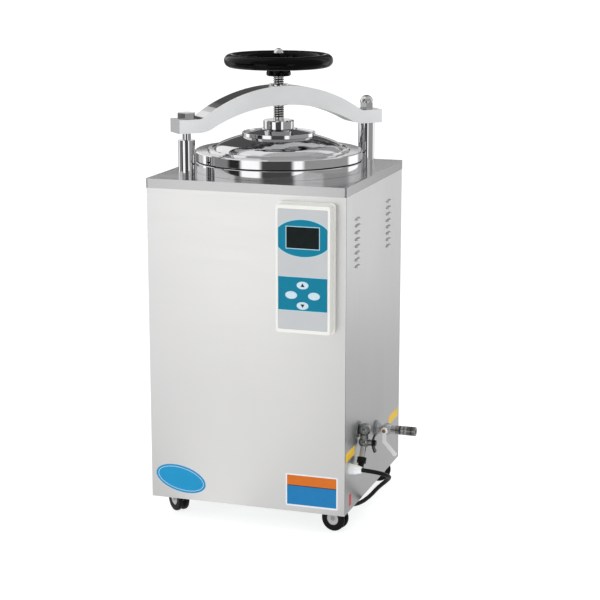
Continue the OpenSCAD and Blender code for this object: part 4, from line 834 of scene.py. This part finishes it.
# %% Yoke, screw and wheel
yoke_satin = finish("yoke_ground_steel", (0.89, 0.89, 0.89), 0.42, metal=0.2, tone=0.03,
                    tone_scale=(12, 12, 12), gloss=0.06, gloss_scale=(60, 60, 60),
                    relief=0.2, relief_scale=(300, 300, 1500), depth=0.00003)
DIAGONAL = (math.sqrt(0.5), -math.sqrt(0.5), 0)
other_edges(yoke_satin, DIAGONAL, 0.67, 0.10)
screw_bright = finish("screw_turned_steel", (0.70, 0.70, 0.69), 0.14, metal=1.0, tone=0.05,
                      tone_scale=(60, 60, 200), gloss=0.05, relief=0.1,
                      relief_scale=(200, 200, 2200), depth=0.00003)
# Painted shade: the thread's roots, nearer the axis than the crests, are coloured near black.
inner_colour(screw_bright, (axis_x, axis_y, 0), (0, 0, 1), ROOT_SHADE_R * MM, ROOT_SHADE_DARK)
wheel_gloss = finish("wheel_black_resin", (0.0015, 0.0015, 0.0018), 0.06, tone=0.2,
                     tone_scale=(25, 25, 25), gloss=0.02, relief=0.03,
                     relief_scale=(260, 260, 260), depth=0.0001, Specular_IOR_Level=0.10)
seal = finish("seal_silicone", (0.04, 0.04, 0.042), 0.5, tone=0.2, relief=0.15,
              relief_scale=(500, 500, 500))
dress(yoke_satin, "yoke_beam")
dress(screw_bright, "threaded_screw", "screw_bush")
dress(wheel_gloss, "handwheel")
dress(seal, "lid_seal")

# %% [markdown]
# ## Control box
#
# The housing is cream moulded plastic with the fine grain of a spark eroded mould. The
# membrane is printed polyester film: smooth, slightly glossy, and grey with blue fields.
# The inks and the stickers' vinyl have their own faint mottle.

# %% Housing, membrane, window and keys
housing = finish("housing_moulded_plastic", (0.83, 0.82, 0.78), 0.45, tone=0.015, gloss=0.05,
                 relief=0.25, relief_scale=(1400, 1400, 1400), depth=0.00004)
film_grey = finish("membrane_grey_film", (0.53, 0.54, 0.55), 0.33, tone=0.02,
                   tone_scale=(20, 20, 20), gloss=0.04, relief=0.15,
                   relief_scale=(2500, 2500, 2500), depth=0.00002, Specular_IOR_Level=0.3)
window_dark = finish("display_window_glass", (0.003, 0.009, 0.008), 0.09, tone=0.25,
                     tone_scale=(60, 60, 60), gloss=0.02, relief=0.02,
                     relief_scale=(60, 60, 60), Specular_IOR_Level=0.1)
key_film = finish("key_pale_film", (0.56, 0.72, 0.80), 0.34, tone=0.03,
                  tone_scale=(120, 120, 120), relief=0.15, relief_scale=(2500, 2500, 2500),
                  depth=0.00002)
board_green = finish("board_laminate", (0.02, 0.16, 0.05), 0.35, second=(0.03, 0.10, 0.04),
                     tone_scale=(220, 40, 600), relief=0.3, relief_scale=(700, 700, 700))
dress(housing, "control_housing")
dress(film_grey, "membrane_panel")
dress(window_dark, "display_window")
dress(key_film, "key_up", "key_down", "key_left", "key_right")
dress(board_green, "control_board")
ink_teal = printed("membrane_teal_ink", (0.002, 0.200, 0.315))
ink_pale = printed("membrane_pale_ink", (0.42, 0.68, 0.80))
black_ink_and_seam_shade = printed("black_ink_and_painted_seam_shade", (0.02, 0.02, 0.025))
dress(ink_teal, "print_oval_field", "print_block_field")
dress(ink_pale, "print_oval_edge", "print_window_frame", "print_block_edge")
dress(black_ink_and_seam_shade, *[a.name for a in arrows])
vinyl_blue = printed("sticker_blue_vinyl", (0.016, 0.195, 0.455))
vinyl_cyan = printed("sticker_cyan_vinyl", (0.016, 0.290, 0.560))
vinyl_white = printed("sticker_white_vinyl", (0.82, 0.84, 0.86))
vinyl_orange = printed("sticker_orange_vinyl", (0.66, 0.16, 0.02))
vinyl_yellow = printed("sticker_yellow_vinyl", (0.90, 0.58, 0.045))
vinyl_red = printed("sticker_red_vinyl", (0.62, 0.06, 0.05))
dress(vinyl_cyan, "sticker_oval")
dress(vinyl_blue, "sticker_notice_field")
# The black ink also paints the shade in the panel seams.
dress(black_ink_and_seam_shade, "sticker_notice_rule", "seam_shade_strip_right", "seam_shade_strip_left")
dress(vinyl_white, "sticker_oval_ring", "sticker_notice_edge")
dress(vinyl_orange, "sticker_notice_band")
dress(vinyl_yellow, "sticker_drain_strip", "sticker_exhaust_strip")
dress(vinyl_red, "sticker_earth_strip")

# %% [markdown]
# ## Valves, gland and lead
#
# The drain and exhaust valves are plated brass. Their forgings are duller and darker than
# the turned parts; the drain valve's darker tone is partly a duller forging and partly
# painted shade. The gland is white nylon and the lead is black rubber.

# %% Valves, gland, lead
plated = finish("valve_bright_plating", (0.64, 0.64, 0.64), 0.10, metal=1.0, tone=0.08,
                tone_scale=(120, 120, 120), gloss=0.05, gloss_scale=(200, 200, 200),
                relief=0.12, relief_scale=(500, 500, 500), depth=0.00005)
# Painted shade: the drain valve's darker plating stands partly for the shade it sits in.
forged_and_shaded = finish("valve_forged_plating_and_painted_shade", (0.33, 0.35, 0.34), 0.20, metal=1.0, tone=0.15,
                tone_scale=(90, 90, 90), gloss=0.08, gloss_scale=(150, 150, 150),
                relief=0.3, relief_scale=(380, 380, 380), depth=0.0001)
washer_satin = finish("washer_satin_steel", (0.40, 0.40, 0.41), 0.34, metal=1.0, tone=0.06,
                      relief=0.2, relief_scale=(700, 700, 700), depth=0.00003)
black_plastic = finish("black_hard_plastic", (0.006, 0.006, 0.007), 0.28, tone=0.2,
                       relief=0.3, relief_scale=(1200, 1200, 1200), depth=0.00005,
                       Specular_IOR_Level=0.2)
lever_white = finish("lever_pale_plating", (0.98, 0.98, 0.98), 0.22, metal=0.05, tone=0.02,
                     relief=0.15, relief_scale=(600, 600, 600), depth=0.00004)
copper = finish("copper_pipe", (0.72, 0.36, 0.22), 0.30, metal=1.0, tone=0.2,
                tone_scale=(60, 60, 25), second=(0.42, 0.22, 0.14), gloss=0.1)
brass = finish("brass_fitting", (0.78, 0.60, 0.28), 0.25, metal=1.0, tone=0.15, gloss=0.08)
nylon = finish("gland_white_nylon", (0.95, 0.95, 0.94), 0.34, tone=0.01, relief=0.15,
               relief_scale=(900, 900, 900), Subsurface_Weight=0.05)
rubber = finish("lead_black_rubber", (0.007, 0.007, 0.008), 0.40, tone=0.2,
                tone_scale=(80, 80, 80), gloss=0.08, relief=0.2,
                relief_scale=(1500, 1500, 1500), depth=0.00004, Specular_IOR_Level=0.18)
dress(forged_and_shaded, "drain_valve")
# Painted reflection: dark bands along the nozzle stand in for the dark reflections in its ribs.
nozzle_painted_reflection = finish("nozzle_plating_painted_dark_reflection", (0.66, 0.67, 0.65), 0.10, metal=1.0,
                     tone_scale=(200, 2, 2), second=(0.015, 0.018, 0.016), gloss=0.04,
                     gloss_scale=(200, 200, 200), relief=0.12, relief_scale=(500, 500, 500))
dress(plated, "drain_spout", "exhaust_valve")
dress(nozzle_painted_reflection, "exhaust_nozzle")
dress(washer_satin, "valve_washers")
dress(black_plastic, "drain_hose_tail", "drain_handle")
dress(lever_white, "exhaust_lever")
dress(copper, "drain_pipe", "exhaust_pipe")
dress(brass, "safety_valve")
dress(nylon, "cable_gland")
for piece in [mains_lead, plug]:
    piece.data.materials.append(rubber)
for pin in plug_pins:
    pin.data.materials.append(brass)

# %% [markdown]
# ## Casters and hidden parts
#
# Twin wheels have a black tyre on a pale grey hub. Both are one turned solid in CAD, so the
# material tells them apart by the distance from the axle. The middle of the wheels' box is
# on the axle, the caster's turn gives its direction, and everything nearer to that line
# than the hub's radius gets the hub's colour.

# %% Casters, insulation and heater
zinc = finish("caster_zinc_plating", (0.45, 0.46, 0.48), 0.28, metal=1.0, tone=0.1,
              tone_scale=(150, 150, 150), second=(0.38, 0.37, 0.32), gloss=0.08)
wool = finish("glass_wool", (0.62, 0.60, 0.50), 0.9, second=(0.45, 0.42, 0.33),
              tone_scale=(60, 60, 160), relief=0.6, relief_scale=(260, 260, 600), depth=0.001)
heater = finish("heater_sheath", (0.20, 0.18, 0.17), 0.4, metal=1.0, tone=0.2,
                tone_scale=(60, 60, 60), gloss=0.1)
CASTERS = ["front_left", "front_right", "rear_left", "rear_right"]
dress(zinc, "caster_plates", *["fork_" + c for c in CASTERS])
dress(wool, "insulation_jacket")
dress(heater, "heating_element", "temperature_probe")
copper_cap = finish("pivot_cap_copper", (0.50, 0.20, 0.09), 0.35, metal=0.6, tone=0.15,
                    tone_scale=(300, 300, 300))
dress(copper_cap, "lever_pivot_cap")


# %% Two-tone caster wheels
CASTER_TURNS = {"front_left": 140, "front_right": -12, "rear_left": 150, "rear_right": 30}
HUB_R = 13.5
HUB_GREY = (0.55, 0.55, 0.54)


def two_tone_tyre(where):
    """The tyre's rubber with the hub's grey inside the hub's radius."""
    material = finish("tyre_and_hub_" + where, (0.006, 0.006, 0.006), 0.42, tone=0.2,
                      tone_scale=(120, 120, 120), gloss=0.08, relief=0.2,
                      relief_scale=(1200, 1200, 1200), depth=0.00005, Specular_IOR_Level=0.16)
    low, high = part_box("wheel_" + where)
    turn = math.radians(CASTER_TURNS[where])
    inner_colour(material, (low + high) / 2, (-math.sin(turn), math.cos(turn), 0), HUB_R * MM,
                 HUB_GREY)
    return material


for where in CASTERS:
    dress(two_tone_tyre(where), "wheel_" + where)

# %% [markdown]
# ## Floor and light
#
# The picture was taken on white, so the floor is one large pale plane that also fills the
# background. It glows a little of its own, like a lit table: the background then stays even
# and the machine's shade on it stays soft. An even sky and soft lamps light the machine, and
# past the floor's edge the sky looks as white as the paper.

# %% Floor, sky and lamps
FLOOR_HALF = 40
SKY_COLOUR = (0.96, 0.98, 1.0, 1)
SKY_STRENGTH = 0.68
floor_mesh = bpy.data.meshes.new("studio_floor")
floor_form = bmesh.new()
bmesh.ops.create_grid(floor_form, x_segments=8, y_segments=8, size=FLOOR_HALF)
floor_form.to_mesh(floor_mesh)
floor_form.free()
studio_floor = bpy.data.objects.new("studio_floor", floor_mesh)
bpy.context.collection.objects.link(studio_floor)
floor_white = finish("floor_white_paper", (0.42, 0.42, 0.42), 0.9, tone=0.004,
                     tone_scale=(2, 2, 2), relief=0.02, relief_scale=(300, 300, 300),
                     Emission_Color=(0.99, 1.0, 1.0, 1), Emission_Strength=0.80)
studio_floor.data.materials.append(floor_white)


def soft_lamp(name, place, aim, size, watts):
    """A square area lamp at a place, aimed at a point, both in millimetres."""
    lamp = bpy.data.lights.new(name, "AREA")
    lamp.shape = "SQUARE"
    lamp.size = size
    lamp.energy = watts
    holder = bpy.data.objects.new(name, lamp)
    holder.location = at(*place)
    holder.rotation_euler = (at(*aim) - at(*place)).to_track_quat("-Z", "Y").to_euler()
    bpy.context.collection.objects.link(holder)


soft_lamp("lamp_front_left", (-2600, -3400, 2300), (0, 0, 500), 2.0, 38)
soft_lamp("lamp_above", (0, -300, 3600), (0, 0, 0), 3.0, 30)
room = bpy.data.worlds.new("studio_room")
room.use_nodes = True
sky = room.node_tree.nodes["Background"]
sky.inputs["Color"].default_value = SKY_COLOUR
sky.inputs["Strength"].default_value = SKY_STRENGTH
backdrop = room.node_tree.nodes.new("ShaderNodeBackground")
backdrop.inputs["Color"].default_value = (1, 1, 1, 1)
chosen = room.node_tree.nodes.new("ShaderNodeMixShader")
seen = room.node_tree.nodes.new("ShaderNodeLightPath").outputs["Is Camera Ray"]
room.node_tree.links.new(seen, chosen.inputs["Fac"])
room.node_tree.links.new(sky.outputs["Background"], chosen.inputs[1])
room.node_tree.links.new(backdrop.outputs["Background"], chosen.inputs[2])
room.node_tree.links.new(chosen.outputs["Shader"],
                         room.node_tree.nodes["World Output"].inputs["Surface"])
bpy.context.scene.world = room
bpy.context.scene.view_settings.view_transform = "Standard"

# %% [markdown]
# ## What the steel mirrors
#
# Polished steel shows the room and not itself. A photographer stands white and black cards
# round such a machine, and so does this cell: a round screen with bright and dark upright
# stripes, a ceiling, and a dial on the floor for what the flat panels mirror. The screen has
# four levels. From below, they are mirrored by upright surfaces, by the cover, by the flat
# rings of the lid, and by the dome and the wheel. All are seen only by reflections, so they
# neither light nor shade anything. A stripe is given by where it starts, in degrees round
# the chamber from the camera, and by its brightness.

# %% Reflection screen and dial
CAMERA_AZIMUTH = -71
SCREEN_R = 2.2
SCREEN_LEVELS = [0, 1.0, 1.085, 1.155, 3.2]
HOLE_R = 0.05
DIAL_Z = 0.001
CARD_STEP = 5
SCREEN_STRIPES = [
    (-180, 0.22), (-138, 0.7), (-122, 1.5), (-104, 0.3), (-70, 0.03), (-51, 1.5),
    (-24, 0.08), (18, 1.5), (32, 0.42), (106, 1.5), (134, 0.5),
]
COVER_STRIPES = [(-180, 0.16), (-148, 1.1), (-60, 0.3), (-20, 0.1), (20, 0.9), (60, 0.5),
                 (150, 0.30)]
LID_STRIPES = [(-180, 0.9), (-60, 0.3), (-20, 0.1), (20, 0.9), (60, 0.5), (110, 1.1),
               (150, 0.5), (164, 0.9)]
HIGH_STRIPES = [(-180, 0.10), (-157, 1.2), (-60, 0.45), (60, 0.5), (102, 1.1), (122, 0.45),
                (152, 0.10)]
CEILING_STRIPES = [(-180, 0.32), (-150, 1.1), (-40, 0.6), (100, 0.9), (130, 0.32)]
DIAL_STRIPES = [(-180, 0.5), (-90, 0.70), (-48, 1.0), (-26, 0.78), (10, 0.5), (90, 0.56)]
STRIPE_EDGE = 2.5
CARD_FULL = 2


def stripe_light(name, stripes):
    """An emission whose brightness depends on the direction from the chamber's axis."""
    material = bpy.data.materials.new(name)
    material.use_nodes = True
    nodes, links = material.node_tree.nodes, material.node_tree.links
    nodes.remove(nodes["Principled BSDF"])
    parts = nodes.new("ShaderNodeSeparateXYZ")
    links.new(nodes.new("ShaderNodeTexCoord").outputs["Object"], parts.inputs["Vector"])
    azimuth = nodes.new("ShaderNodeMath")
    azimuth.operation = "ARCTAN2"
    links.new(parts.outputs["Y"], azimuth.inputs[0])
    links.new(parts.outputs["X"], azimuth.inputs[1])
    share = nodes.new("ShaderNodeMapRange")
    share.inputs["From Min"].default_value = -math.pi
    share.inputs["From Max"].default_value = math.pi
    links.new(azimuth.outputs["Value"], share.inputs["Value"])
    ramp = nodes.new("ShaderNodeValToRGB")
    links.new(share.outputs["Result"], ramp.inputs["Fac"])
    stops = []
    for (start, bright), (_, before) in zip(stripes, stripes[-1:] + stripes[:-1]):
        for edge, value in ((-STRIPE_EDGE, before), (STRIPE_EDGE, bright)):
            place = ((start + CAMERA_AZIMUTH + edge + 180) % 360) / 360
            stops.append((place, value / CARD_FULL))
    stops.sort()
    elements = ramp.color_ramp.elements
    elements[0].position, elements[1].position = 0, 1
    for place, value in stops:
        elements.new(place).color = (value, value, value, 1)
    elements[0].color = elements[-1].color = (stops[0][1],) * 3 + (1,)
    glow = nodes.new("ShaderNodeEmission")
    glow.inputs["Strength"].default_value = CARD_FULL
    links.new(ramp.outputs["Color"], glow.inputs["Color"])
    links.new(glow.outputs["Emission"], nodes["Material Output"].inputs["Surface"])
    return material


def reflection_card(name, rings, stripes):
    """A card round the chamber that only reflections see."""
    form = bmesh.new()
    rows = [[form.verts.new((r * math.cos(math.radians(a)), r * math.sin(math.radians(a)), z))
             for a in range(0, 360, CARD_STEP)] for r, z in rings]
    for low, high in zip(rows, rows[1:]):
        for i in range(len(low)):
            j = (i + 1) % len(low)
            form.faces.new((low[i], low[j], high[j], high[i]))
    mesh = bpy.data.meshes.new(name)
    form.to_mesh(mesh)
    form.free()
    mesh.materials.append(stripe_light(name + "_glow", stripes))
    card = bpy.data.objects.new(name, mesh)
    card.location = at(0, 0, 0)
    bpy.context.collection.objects.link(card)
    card.visible_camera = card.visible_diffuse = card.visible_shadow = False
    card.visible_transmission = card.visible_volume_scatter = False


top = SCREEN_LEVELS[-1]
reflection_card("reflection_dial", [(HOLE_R, DIAL_Z), (SCREEN_R, DIAL_Z)], DIAL_STRIPES)
reflection_card("reflection_ceiling", [(SCREEN_R, top), (HOLE_R, top)], CEILING_STRIPES)
for part, low, high, stripes in zip(("panels", "cover", "lid", "dome"), SCREEN_LEVELS,
                                    SCREEN_LEVELS[1:], (SCREEN_STRIPES, COVER_STRIPES,
                                                        LID_STRIPES, HIGH_STRIPES)):
    reflection_card("reflection_screen_" + part, [(SCREEN_R, low), (SCREEN_R, high)], stripes)
print("stripes", len(SCREEN_STRIPES), "on the low screen,", len(DIAL_STRIPES), "on the dial")
